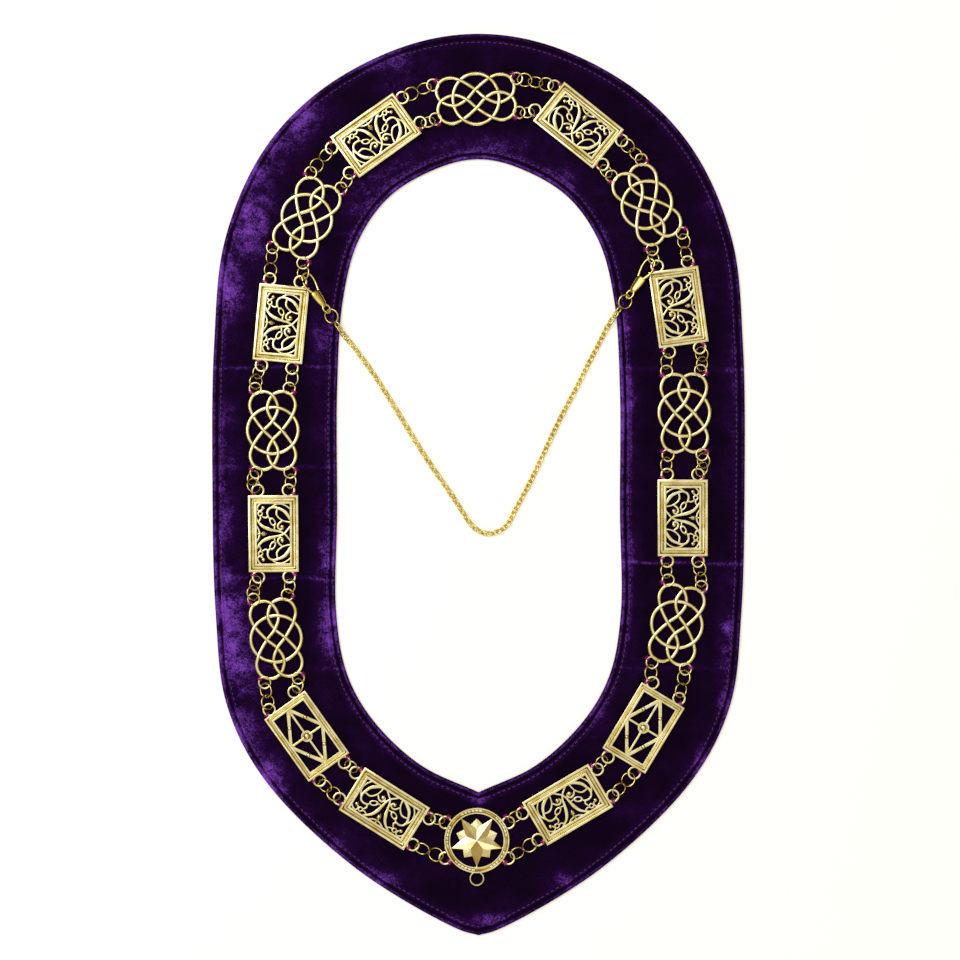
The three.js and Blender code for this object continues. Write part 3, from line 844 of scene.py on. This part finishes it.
def lozenge_template():
    """A plain lozenge in a frame: ridged border, cross bars, a domed boss and four pips."""
    border = 4.2
    along, across = PLAQUE["length"] / 2 - border + 0.8, PLAQUE["width"] / 2 - border + 0.8
    corners = [Vector(p) for p in ((along, 0, 0), (0, across, 0), (-along, 0, 0), (0, -across, 0))]
    level = Vector((0, 0, PLATE_BASE + SCROLL_LEVEL))
    strands = [([a + level, b + level], 1.3, False) for a, b in zip(corners, corners[1:] + corners[:1])]
    strands += [([corners[k] * 0.98 + level, corners[k + 2] * 0.98 + level], 0.8, False) for k in (0, 1)]
    bars = wires("lozenge_bars", strands, sides=2)
    cast(bars, level.z)
    bpy.ops.mesh.primitive_cylinder_add(
        vertices=32, radius=BOSS["radius"] * MM, depth=BOSS["height"] * MM,
        location=(0, 0, (PLATE_BASE + BOSS["height"] / 2) * MM))
    boss = settle(bpy.context.object)
    bpy.ops.object.mode_set(mode="EDIT")
    bpy.ops.mesh.select_all(action="DESELECT")
    mesh = bmesh.from_edit_mesh(boss.data)
    for face in mesh.faces:
        face.select_set(face.normal.z > 0.9)
    bmesh.update_edit_mesh(boss.data)
    bpy.ops.mesh.inset(thickness=0.7 * MM)
    bpy.ops.mesh.inset(thickness=0.3 * MM, depth=-0.5 * MM)
    bpy.ops.object.mode_set(mode="OBJECT")
    dome = ball(2.2, (0, 0, PLATE_BASE + 1.5), 0.7)
    pips = [ball(1.5, (x, y, PLATE_BASE + 1.6), 0.75) for x, y in (
        (along * 0.5, across * 0.5), (-along * 0.5, across * 0.5),
        (along * 0.5, -across * 0.5), (-along * 0.5, -across * 0.5))]
    made = join([moulded_frame(border, 1.1), bars, boss, dome, *pips, *four_eyes(PLAQUE_EYE)], "lozenge")
    soften(made)
    return made


# One strand of the knot as half of a figure of eight; the other half mirrors it end for
# end, and the second strand mirrors the first side for side.
KNOT_STRAND = [
    (13.2, 3.2), (21.1, 0), (23.4, -5.5), (21, -11.4), (15.2, -13.7), (8.7, -11.7),
    (0, -5.5), (-5.7, 0),
]
KNOT_RING = (13.9, 15.2)
KNOT_WIRE = 1.2
KNOT_LIFT = 0.3


def crossings(lines):
    """Where closed lines cross in plan, as pairs of (line, index)."""
    found = []
    spans = [(i, k, line[k], line[(k + 1) % len(line)]) for i, line in enumerate(lines)
             for k in range(len(line))]
    for n, (i, j, a, b) in enumerate(spans):
        for m, l, c, d in spans[n + 1:]:
            if i == m and min((j - l) % len(lines[i]), (l - j) % len(lines[i])) < 3:
                continue
            one, two = b - a, d - c
            cross = one.x * two.y - one.y * two.x
            if abs(cross) < 1e-9 or (a - c).length > 4:
                continue
            s = ((c - a).x * two.y - (c - a).y * two.x) / cross
            t = ((c - a).x * one.y - (c - a).y * one.x) / cross
            if 0 <= s < 1 and 0 <= t < 1:
                found.append(((i, j), (m, l)))
    return found


def interlace(lines, lift, reach):
    """Lifts and lowers closed lines where they cross, over and under in turn."""
    pairs = crossings(lines)
    partner = {a: b for a, b in pairs} | {b: a for a, b in pairs}
    height, waiting = {}, [(pairs[0][0], 1)]
    while waiting:
        visit, sign = waiting.pop()
        if visit in height:
            continue
        height[visit] = sign
        waiting.append((partner[visit], -sign))
        stops = sorted(k for i, k in partner if i == visit[0])
        at = stops.index(visit[1])
        waiting.append(((visit[0], stops[(at + 1) % len(stops)]), -sign))
        waiting.append(((visit[0], stops[at - 1]), -sign))
    for i, line in enumerate(lines):
        count = len(line)
        for k, point in enumerate(line):
            for (m, at), sign in height.items():
                away = min((k - at) % count, (at - k) % count)
                if m == i and away < reach:
                    point.z += sign * lift * 0.5 * (1 + math.cos(math.pi * away / reach))


def knot_template():
    """Two interlaced figures of eight and a ring, cast half round."""
    level = PLATE_BASE + 1.7
    mirrored = [(-x, y) for x, y in KNOT_STRAND]
    eight = smooth(KNOT_STRAND + mirrored, 120, closed=True)
    lines = [[Vector((p.x, side * p.y, 0)) for p in eight] for side in (1, -1)]
    lines.append([Vector((KNOT_RING[0] * math.cos(math.tau * k / 80),
                          KNOT_RING[1] * math.sin(math.tau * k / 80), 0)) for k in range(80)])
    interlace(lines, KNOT_LIFT, 4)
    for line in lines:
        for point in line:
            point.z += level
    bars = wires("knot_bars", [(line, KNOT_WIRE, True) for line in lines], sides=3)
    cast(bars, level)
    made = join([bars, *four_eyes(KNOT_EYE)], "knot")
    soften(made, 60)
    return made


class CHAIN_OT_plates(bpy.types.Operator):
    """Makes the knots, the scrolled plaques and the lozenge plaques"""

    bl_idname = "chain.plates"
    bl_label = "Link plates"

    def execute(self, context):
        templates = {
            "knot_plate": knot_template(), "filigree_plaque": filigree_template(),
            "lozenge_plaque": lozenge_template(),
        }
        for node, matrix in plates():
            template = templates.get(node.rsplit("_", 1)[0])
            if template:
                made = copy_to(template, node + "_gilt", matrix)
                dress(made, plate_gilt(), "gilt_plate", node)
        for template in templates.values():
            remove(template)
        return {"FINISHED"}


# -------------------------------------------------------------- star medallion


STAR = {"reach": 16.0, "notch": 0.45, "height": 2.3, "edge": 0.9, "turn": 0}
RAYS = {"reach": 12.9, "notch": 0.715, "height": 1.2, "edge": 0.6, "turn": math.radians(36)}
# The pads round the rim: places in all, places in a run, and the last empty one of a run.
PADS, PAD_RUN, PAD_GAP = 50, 10, 3


def faceted_star(base, reach, notch, height, edge, turn):
    """A star of five ridged points, drawn from a ten-sided cone."""
    bpy.ops.mesh.primitive_cone_add(
        vertices=10, radius1=reach * MM, radius2=0, depth=height * MM, end_fill_type="NGON",
        location=(0, 0, (base + edge + height / 2) * MM))
    star = settle(bpy.context.object)
    for vertex in star.data.vertices:
        number = round(math.degrees(math.atan2(vertex.co.y, vertex.co.x)) / 36 + 0.5)
        if vertex.co.z < (base + edge + 0.01) * MM and number % 2 == 0:
            vertex.co.x, vertex.co.y = vertex.co.x * notch, vertex.co.y * notch
    bpy.ops.object.mode_set(mode="EDIT")
    bpy.ops.mesh.select_all(action="DESELECT")
    mesh = bmesh.from_edit_mesh(star.data)
    for face in mesh.faces:
        face.select_set(face.normal.z < -0.9)
    bmesh.update_edit_mesh(star.data)
    bpy.ops.mesh.extrude_region_move(TRANSFORM_OT_translate={"value": (0, 0, -edge * MM)})
    bpy.ops.object.mode_set(mode="OBJECT")
    star.data.transform(Matrix.Rotation(turn, 4, "Z"))
    return star


def grooved_ring():
    """The medallion's rim, spun from its section: two ridges and a V between."""
    bpy.ops.mesh.primitive_plane_add(size=1, location=(0, 0, 0))
    ring = bpy.context.object
    outer, inner, high = MEDALLION["outer"], MEDALLION["inner"], MEDALLION["height"]
    profile = [(outer, 0), (outer, high * 0.8), (outer - 0.35, high), (outer - 1.0, high),
               (outer - 2.1, high * 0.15), (inner + 1.75, high * 0.15), (inner + 1.0, high * 0.95),
               (inner + 0.3, high * 0.95), (inner, high * 0.75), (inner, 0)]
    bpy.ops.object.mode_set(mode="EDIT")
    mesh = bmesh.from_edit_mesh(ring.data)
    bmesh.ops.delete(mesh, geom=mesh.verts[:], context="VERTS")
    corners = [mesh.verts.new((x * MM, 0, (PLATE_BASE + z) * MM)) for x, z in profile]
    for a, b in zip(corners, corners[1:] + corners[:1]):
        mesh.edges.new((a, b))
    bmesh.update_edit_mesh(ring.data)
    bpy.ops.mesh.select_all(action="SELECT")
    bpy.ops.mesh.spin(steps=96, angle=math.tau, center=(0, 0, 0), axis=(0, 0, 1))
    bpy.ops.mesh.select_all(action="SELECT")
    bpy.ops.mesh.remove_doubles(threshold=0.01 * MM)
    bpy.ops.mesh.normals_make_consistent(inside=False)
    bpy.ops.object.mode_set(mode="OBJECT")
    return ring


def dashes():
    """Short raised pads in the channel of the medallion's rim, with gaps that stay dark."""
    bpy.ops.mesh.primitive_cube_add(size=1)
    dash = bpy.context.object
    dash.data.transform(Matrix.Diagonal((2.0 * MM, 1.2 * MM, 1.4 * MM, 1)))
    apply_modifier(dash, "BEVEL", width=0.2 * MM, segments=2)
    radius = (MEDALLION["outer"] + MEDALLION["inner"]) / 2
    height = PLATE_BASE + MEDALLION["height"] * 0.5 + 0.2
    places = [Matrix.Rotation(math.tau * k / PADS, 4, "Z")
              @ Matrix.Translation(Vector((0, radius, height)) * MM) for k in range(PADS)
              if k % PAD_RUN > PAD_GAP]
    made = scatter(dash, places, "dashes")
    remove(dash)
    return made


def rim_eyes():
    """The eyes soldered to the medallion's rim, open where they meet it."""
    strands = []
    for end in (1, -1):
        for side in (1, -1):
            centre = Vector((end * MEDALLION_EYE[0], side * MEDALLION_EYE[1], EYE_LEVEL))
            bearing = math.atan2(-centre.y, -centre.x)
            loop = [centre + Vector((math.cos(bearing + math.tau * k / 36),
                                     math.sin(bearing + math.tau * k / 36), 0)) * EYE["radius"]
                    for k in range(36)]
            strands.append(([p for p in loop if p.xy.length > MEDALLION["outer"] - 0.8], EYE["wire"], False))
    eyes = wires("rim_eyes", strands, sides=2)
    cast(eyes, EYE_LEVEL, 0.7, 1.0)
    return eyes


class CHAIN_OT_medallion(bpy.types.Operator):
    """Makes the round medallion with its faceted star and pendant ring"""

    bl_idname = "chain.medallion"
    bl_label = "Star medallion"

    def execute(self, context):
        level = PLATE_BASE + 0.2
        place = plate_matrix("star_medallion")
        loop = torus(PENDANT_RING["radius"], PENDANT_RING["wire"] + 0.08,
                     (0, PENDANT_RING["across"], EYE["z"] - 0.9), 36, 10)
        rounded = [grooved_ring(), loop, rim_eyes()]
        for piece in rounded:
            soften(piece, 30)
        made = join([*rounded, faceted_star(level, **STAR)], "star_medallion_gilt")
        made.data.transform(place)
        dress(made, plate_gilt(), "gilt_plate", "star_medallion")
        pads = dashes()
        soften(pads, 20)
        rays = faceted_star(level, **RAYS)
        rough = join([pads, rays], "medallion_stippling")
        rough.data.transform(place)
        dress(rough, stippled_gilt(), "gilt_plate")
        return {"FINISHED"}


# ------------------------------------------------------------------ jump rings


def eye_place(node, matrix, end, side):
    along, across = eye_of(node)
    place = matrix @ (Vector((end * along, side * across, 0)) * MM)
    return Vector((place.x, place.y, EYE["z"] * MM)) / MM


def ring_places(gap, outer):
    """Places between two eyes as (share of the gap, millimetres aside, degrees turned)."""
    if not outer:
        return [(0.5, -INNER_RING["sag"], 0)]
    strand = OUTER_STRAND
    if gap > strand["wide_gap"]:
        return [(0.5 + side * strand["wide_spread"], 0, 0) for side in (-1, 0, 1)]
    aside = max(0, strand["taut_gap"] - gap) * strand["aside"]
    return [(0.5 - side * strand["spread"], aside, side * strand["turn"] * aside) for side in (1, -1)]


def strand_rings(start, end, outer):
    """(place, heading, tilt, radius) of each ring of a strand between two eyes."""
    along = end - start
    heading = math.atan2(along.y, along.x)
    left = Vector((-math.sin(heading), math.cos(heading), 0))
    size = OUTER_RING if outer else INNER_RING
    radius = size["radius"] if outer else max(size["radius"], size["per_gap"] * along.length)
    made = []
    for k, (share, aside, turn) in enumerate(ring_places(along.length, outer)):
        sign = (-1 if k % 2 else 1) * (1 if outer else -1)
        made.append((start + along * share + left * aside, heading + math.radians(turn),
                     math.radians(size["tilt"]) * sign, radius))
    return made


def gap_rings(number, outer):
    """The rings between link number and the next, from 1 at the back of the neck."""
    links = plates()
    here, there = links[number - 1], links[number % len(links)]
    side = 1 if outer else -1
    return strand_rings(eye_place(*here, 1, side), eye_place(*there, -1, side), outer)


def ring_matrix(place, heading, tilt):
    return (Matrix.Translation(place * MM) @ Matrix.Rotation(heading, 4, "Z")
            @ Matrix.Rotation(tilt, 4, "X"))


class CHAIN_OT_rings(bpy.types.Operator):
    """Makes the two strands of jump rings"""

    bl_idname = "chain.rings"
    bl_label = "Jump rings"

    def execute(self, context):
        wire = context.scene.gilt.ring_wire / MM
        for number in range(1, len(plates()) + 1):
            for outer in (True, False):
                node = f"{'outer' if outer else 'inner'}_rings_{number}"
                rings = []
                for place, heading, tilt, radius in gap_rings(number, outer):
                    ring = torus(radius, wire, steps=32)
                    ring.data.transform(ring_matrix(place, heading, tilt))
                    rings.append(ring)
                made = join(rings, node + "_gilt")
                soften(made, 80)
                dress(made, wire_gilt(), "gilt_wire", node)
        return {"FINISHED"}


# Where each turn of a tack goes in and comes out, in millimetres along the eye's wire.
TACK_TURNS = [(-1.0, 0.3), (-0.5, -0.7), (0.1, 0.9), (0.6, -0.2), (1.0, 0.6)]


def tack_template():
    """Five crossing turns of thread that tie an eye's wire down to the velvet."""
    strands = []
    for k, (start, end) in enumerate(TACK_TURNS):
        top = 0.72 + 0.12 * (k % 3)
        arch = [(start, -1.5, -3), (start, -1.05, -0.4), (start * 0.7 + end * 0.3, -0.4, top),
                (start * 0.3 + end * 0.7, 0.4, top), (end, 1.05, -0.4), (end, 1.5, -3)]
        strands.append((smooth(arch, 12), 0.24, False))
    made = wires("tack", strands, sides=1)
    soften(made, 80)
    return made


class CHAIN_OT_tacks(bpy.types.Operator):
    """Makes the thread tacks that tie every plate to the velvet"""

    bl_idname = "chain.tacks"
    bl_label = "Thread tacks"

    def execute(self, context):
        tack = tack_template()
        draw = random.Random(5)
        places = []
        for node, matrix in plates():
            along, across = eye_of(node)
            for end in (1, -1):
                for side in (1, -1):
                    bearing = math.radians(125 + draw.uniform(-12, 12))
                    spot = Vector((end * (along + EYE["radius"] * math.cos(bearing)),
                                   side * (across + EYE["radius"] * math.sin(bearing)), EYE["z"] - 0.9))
                    turn = math.atan2(side * math.sin(bearing), end * math.cos(bearing))
                    places.append(matrix @ Matrix.Translation(spot * MM)
                                  @ Matrix.Rotation(turn + math.pi / 2, 4, "Z")
                                  @ Matrix.Diagonal((1, draw.uniform(0.85, 1.1), 1, 1)))
        tacks = scatter(tack, places, "thread_tacks")
        remove(tack)
        soften(tacks, 80)
        dress(tacks, thread("nylon_thread", context.scene.velvet.tack), "velvet")
        return {"FINISHED"}


# ---------------------------------------------------------- clasps and chain

# A lobster clasp in its own frame: X from the hook's round end to the tail, Y towards the
# bowed back of the hook, Z through its flat.
CLASP = {"start": 1.2, "z": 7.1, "pitch": 4, "roll": 26, "tail": 25.7}
CLASPS = [
    {"name": "left", "gap": 16, "yaw": -57, "side": 1},
    {"name": "right", "gap": 3, "yaw": -123, "side": -1},
]
HOOK_BACK = [(3.2, -3.2), (1.2, -2.4), (0, 0), (1, 2.6), (3.6, 3.5), (7.5, 3.4), (13, 2.0)]
HOOK_RADII = [0.55, 0.62, 0.65, 0.65, 0.68, 0.75, 0.9]
LEVER_PATH = [(4.2, -3.5), (6.5, -3.9), (9.5, -3.3), (12.6, -1.8)]
LEVER_RADII = [0.5, 0.62, 0.85, 0.9]
BODY_SPINE = [(11.9, -0.1), (12.3, -0.15), (13, -0.2), (14, -0.25), (16, -0.2), (18.5, -0.1), (21, 0),
              (22.6, 0), (23.3, 0)]
BODY_RADII = [1.9, 2.6, 3.1, 3.25, 3.15, 2.8, 2.3, 1.7, 1.0]
# The clasp body's thickness as a share of its width.
BODY_FLAT = 0.42
TAIL = {"radius": 2.2, "wire": 0.6, "back": 1.1, "stretch": (1.25, 0.95)}
PIVOT = (12.6, -1.8)


def clasp_matrix(clasp):
    """The pose of a clasp whose hook goes through the inner ring of its gap."""
    ((place, _, _, _),) = gap_rings(clasp["gap"], False)
    yaw = math.radians(clasp["yaw"])
    start = Vector((place.x, place.y, 0)) + Vector((math.cos(yaw), math.sin(yaw), 0)) * CLASP["start"]
    turn = (Matrix.Rotation(yaw, 4, "Z") @ Matrix.Rotation(math.radians(CLASP["pitch"]), 4, "Y")
            @ Matrix.Rotation(-clasp["side"] * math.radians(CLASP["roll"]), 4, "X"))
    return Matrix.Translation(Vector((start.x, start.y, CLASP["z"])) * MM) @ turn


def clasp_body(side):
    hook = wires("hook", [([Vector((p.x, side * p.y, 0)) for p in smooth(HOOK_BACK, 28)],
                           HOOK_RADII, False)], sides=3)
    spine = [Vector((x, side * y, 0)) for x, y in BODY_SPINE]
    block = wires("block", [(spine, BODY_RADII, False)], sides=5)
    block.data.transform(Matrix.Diagonal((1, 1, BODY_FLAT, 1)))
    rivet = ball(0.6, (PIVOT[0] + 1.8, side * (PIVOT[1] + 0.6), 1.15), 0.5)
    tail = torus(TAIL["radius"], TAIL["wire"], steps=24)
    tail.data.transform(Matrix.Translation(((CLASP["tail"] - TAIL["back"]) * MM, 0, 0))
                        @ Matrix.Diagonal((*TAIL["stretch"], 1, 1)))
    made = join([hook, block, rivet, tail], "clasp")
    soften(made, 50)
    return made


def clasp_lever(side):
    made = wires("lever", [([Vector((p.x, side * p.y, 0)) for p in smooth(LEVER_PATH, 16)],
                            LEVER_RADII, False)], sides=3)
    soften(made, 60)
    return made


class CHAIN_OT_clasps(bpy.types.Operator):
    """Makes the two lobster clasps and their sprung levers"""

    bl_idname = "chain.clasps"
    bl_label = "Lobster clasps"

    def execute(self, context):
        for clasp in CLASPS:
            matrix = clasp_matrix(clasp)
            name = clasp["name"]
            body = clasp_body(clasp["side"])
            body.data.transform(matrix)
            body.name = f"{name}_clasp_gilt"
            dress(body, wire_gilt(), "gilt_plate", f"{name}_clasp_body")
            lever = clasp_lever(clasp["side"])
            lever.data.transform(matrix)
            lever.name = f"{name}_lever_gilt"
            lever.data.materials.append(wire_gilt())
            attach(lever, f"{name}_clasp_lever")
            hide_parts(f"{name}_clasp_lever")
        return {"FINISHED"}


# The chain's line from clasp to clasp, in millimetres, the same as its solid's.
CHAIN_ROUTE = [
    (-86.4, 98.2, 5), (-83, 93, 4.4), (-80.6, 89.5, 3.4), (-78.5, 87, 2.5), (-75.5, 83.5, 1.8),
    (-71, 77.5, 1.7), (-62.5, 65.5, 1.7), (-51, 47.5, 1.7), (-40, 29.5, 1.7), (-28.5, 11.5, 1.7),
    (-16, -6.5, 1.7), (-4, -24.5, 1.7), (0.5, -28, 1.7), (5, -29.5, 1.7), (11, -28.5, 1.7),
    (17, -24.5, 1.7), (22, -15.5, 1.7), (31.5, 2.5, 1.7), (40, 20.5, 1.7), (48.5, 38.5, 1.7),
    (58, 56.5, 1.7), (67, 74.5, 1.7), (72.5, 85, 1.7), (75.8, 91.5, 1.8), (78, 95.5, 2.5),
    (79.8, 98.5, 3.4), (82.2, 102, 4.4), (86, 107, 5),
]
LINK = {"radius": 1.5, "wire": 0.54, "stretch": 1.35}


class CHAIN_OT_chain(bpy.types.Operator):
    """Makes the safety chain of cable links and its two end rings"""

    bl_idname = "chain.safety_chain"
    bl_label = "Safety chain"

    def execute(self, context):
        line = smooth(CHAIN_ROUTE, 600)
        length = sum((b - a).length for a, b in zip(line, line[1:]))
        count = round(length / (context.scene.gilt.chain_pitch / MM))
        line = smooth(CHAIN_ROUTE, count)
        link = torus(LINK["radius"], LINK["wire"], steps=16, sides=6)
        link.data.transform(Matrix.Diagonal((LINK["stretch"], 1, 1, 1)))
        draw = random.Random(9)
        places = []
        for k in range(1, count):
            along = (line[k + 1] - line[k - 1]).normalized()
            heading = along.to_track_quat("X", "Z").to_matrix().to_4x4()
            roll = math.radians((40 if k % 2 else -40) + draw.uniform(-7, 7))
            places.append(Matrix.Translation(line[k] * MM) @ heading @ Matrix.Rotation(roll, 4, "X"))
        parts = [scatter(link, places, "links")]
        remove(link)
        for clasp in CLASPS:
            matrix = clasp_matrix(clasp)
            place = matrix @ (Vector((CLASP["tail"] + INNER_RING["radius"], 0, 0)) * MM) / MM
            ring = torus(INNER_RING["radius"], context.scene.gilt.ring_wire / MM, steps=32)
            ring.data.transform(ring_matrix(
                place, math.radians(clasp["yaw"]), clasp["side"] * math.radians(CLASP["roll"])))
            parts.append(ring)
        made = join(parts, "safety_chain_gilt")
        soften(made, 80)
        dress(made, wire_gilt(), "gilt_wire", "safety_chain")
        return {"FINISHED"}


# ----------------------------------------------------------------------- stage


# Each lamp: name, place, side and brightness.
LAMPS = [("key", (-1.0, 0.85, 2.1), 1.7, 2.9), ("low_fill", (0.1, -1.7, 0.95), 0.9, 1.4)]
FLOOR = {"size": 12, "below": 0.1}
# The camera stands this far off the middle of the collar, in millimetres.
CAMERA_OFFSET = Vector((0.9, 2.7, 0))


def softbox(name, location, size, strength):
    """A square soft white light of that side, aimed at the collar; strength is its brightness."""
    data = bpy.data.lights.new(name, "AREA")
    data.size = size
    data.energy = strength * math.pi * size * size
    light = bpy.data.objects.new(name, data)
    light.location = location
    light.rotation_euler = (-Vector(location)).to_track_quat("-Z", "Y").to_euler()
    bpy.context.scene.collection.objects.link(light)


def soft_room():
    """A room with a white ceiling, warm walls and a dark floor line, which the metal mirrors."""
    world = bpy.data.worlds.new("soft_room")
    world.use_nodes = True
    tree = world.node_tree
    tree.nodes.clear()
    way = add(tree, "ShaderNodeTexCoord").outputs["Generated"]
    height = add(tree, "ShaderNodeSeparateXYZ", {0: way}).outputs["Z"]
    tone = add(tree, "ShaderNodeValToRGB", {"Fac": height}, stops=[
        (0.0, linear("#140c04")), (0.3, linear("#4c3d20")), (0.7, linear("#bb9e66")), (0.96, grey(1))])
    light = add(tree, "ShaderNodeBackground", {"Color": tone.outputs["Color"], "Strength": 1.0})
    add(tree, "ShaderNodeOutputWorld", {"Surface": light.outputs[0]})
    return world


class CHAIN_OT_stage(bpy.types.Operator):
    """Makes the floor, the soft light and the camera straight above"""

    bl_idname = "chain.stage"
    bl_label = "Stage"

    def execute(self, context):
        scene, settings = context.scene, context.scene.stage
        deselect_all()
        bpy.ops.mesh.primitive_plane_add(size=FLOOR["size"], location=(0, 0, -FLOOR["below"] * MM))
        floor = settle(bpy.context.object)
        floor.name = "floor"
        floor.data.materials.append(matt_paper(settings.floor))
        scene.world = soft_room()
        for lamp in LAMPS:
            softbox(*lamp)
        middle = (CAD_BOX[0] + CAD_BOX[1]) / 2
        data = bpy.data.cameras.new("camera")
        data.lens, data.sensor_width = 100, 36
        camera = bpy.data.objects.new("camera", data)
        camera.location = middle + CAMERA_OFFSET * MM + UP * settings.reach
        scene.collection.objects.link(camera)
        scene.camera = camera
        scene.view_settings.view_transform = "Standard"
        return {"FINISHED"}


class CHAIN_PT_panel(bpy.types.Panel):
    """Lists the collar's pieces in the sidebar"""

    bl_idname = "CHAIN_PT_panel"
    bl_label = "Chain of Office"
    bl_space_type = "VIEW_3D"
    bl_region_type = "UI"
    bl_category = "Chain of Office"

    def draw(self, context):
        for group in (context.scene.velvet, context.scene.gilt, context.scene.stage):
            box = self.layout.box()
            for key in group.__annotations__:
                box.prop(group, key)
        for operator in OPERATORS:
            self.layout.operator(operator.bl_idname)


SETTINGS = {"velvet": VelvetSettings, "gilt": GiltSettings, "stage": StageSettings}
OPERATORS = [
    CHAIN_OT_velvet, CHAIN_OT_stitching, CHAIN_OT_plates, CHAIN_OT_medallion, CHAIN_OT_rings,
    CHAIN_OT_tacks, CHAIN_OT_clasps, CHAIN_OT_chain, CHAIN_OT_stage,
]


def register():
    for name, group in SETTINGS.items():
        bpy.utils.register_class(group)
        setattr(bpy.types.Scene, name, bpy.props.PointerProperty(type=group))
    for kind in [*OPERATORS, CHAIN_PT_panel]:
        bpy.utils.register_class(kind)


def unregister():
    for kind in [CHAIN_PT_panel, *reversed(OPERATORS)]:
        bpy.utils.unregister_class(kind)
    for name, group in SETTINGS.items():
        delattr(bpy.types.Scene, name)
        bpy.utils.unregister_class(group)


def main():
    register()
    deselect_all()
    bpy.ops.chain.velvet()
    bpy.ops.chain.stitching()
    bpy.ops.chain.plates()
    bpy.ops.chain.medallion()
    bpy.ops.chain.rings()
    bpy.ops.chain.tacks()
    bpy.ops.chain.clasps()
    bpy.ops.chain.safety_chain()
    bpy.ops.chain.stage()


if __name__ == "__main__":
    main()
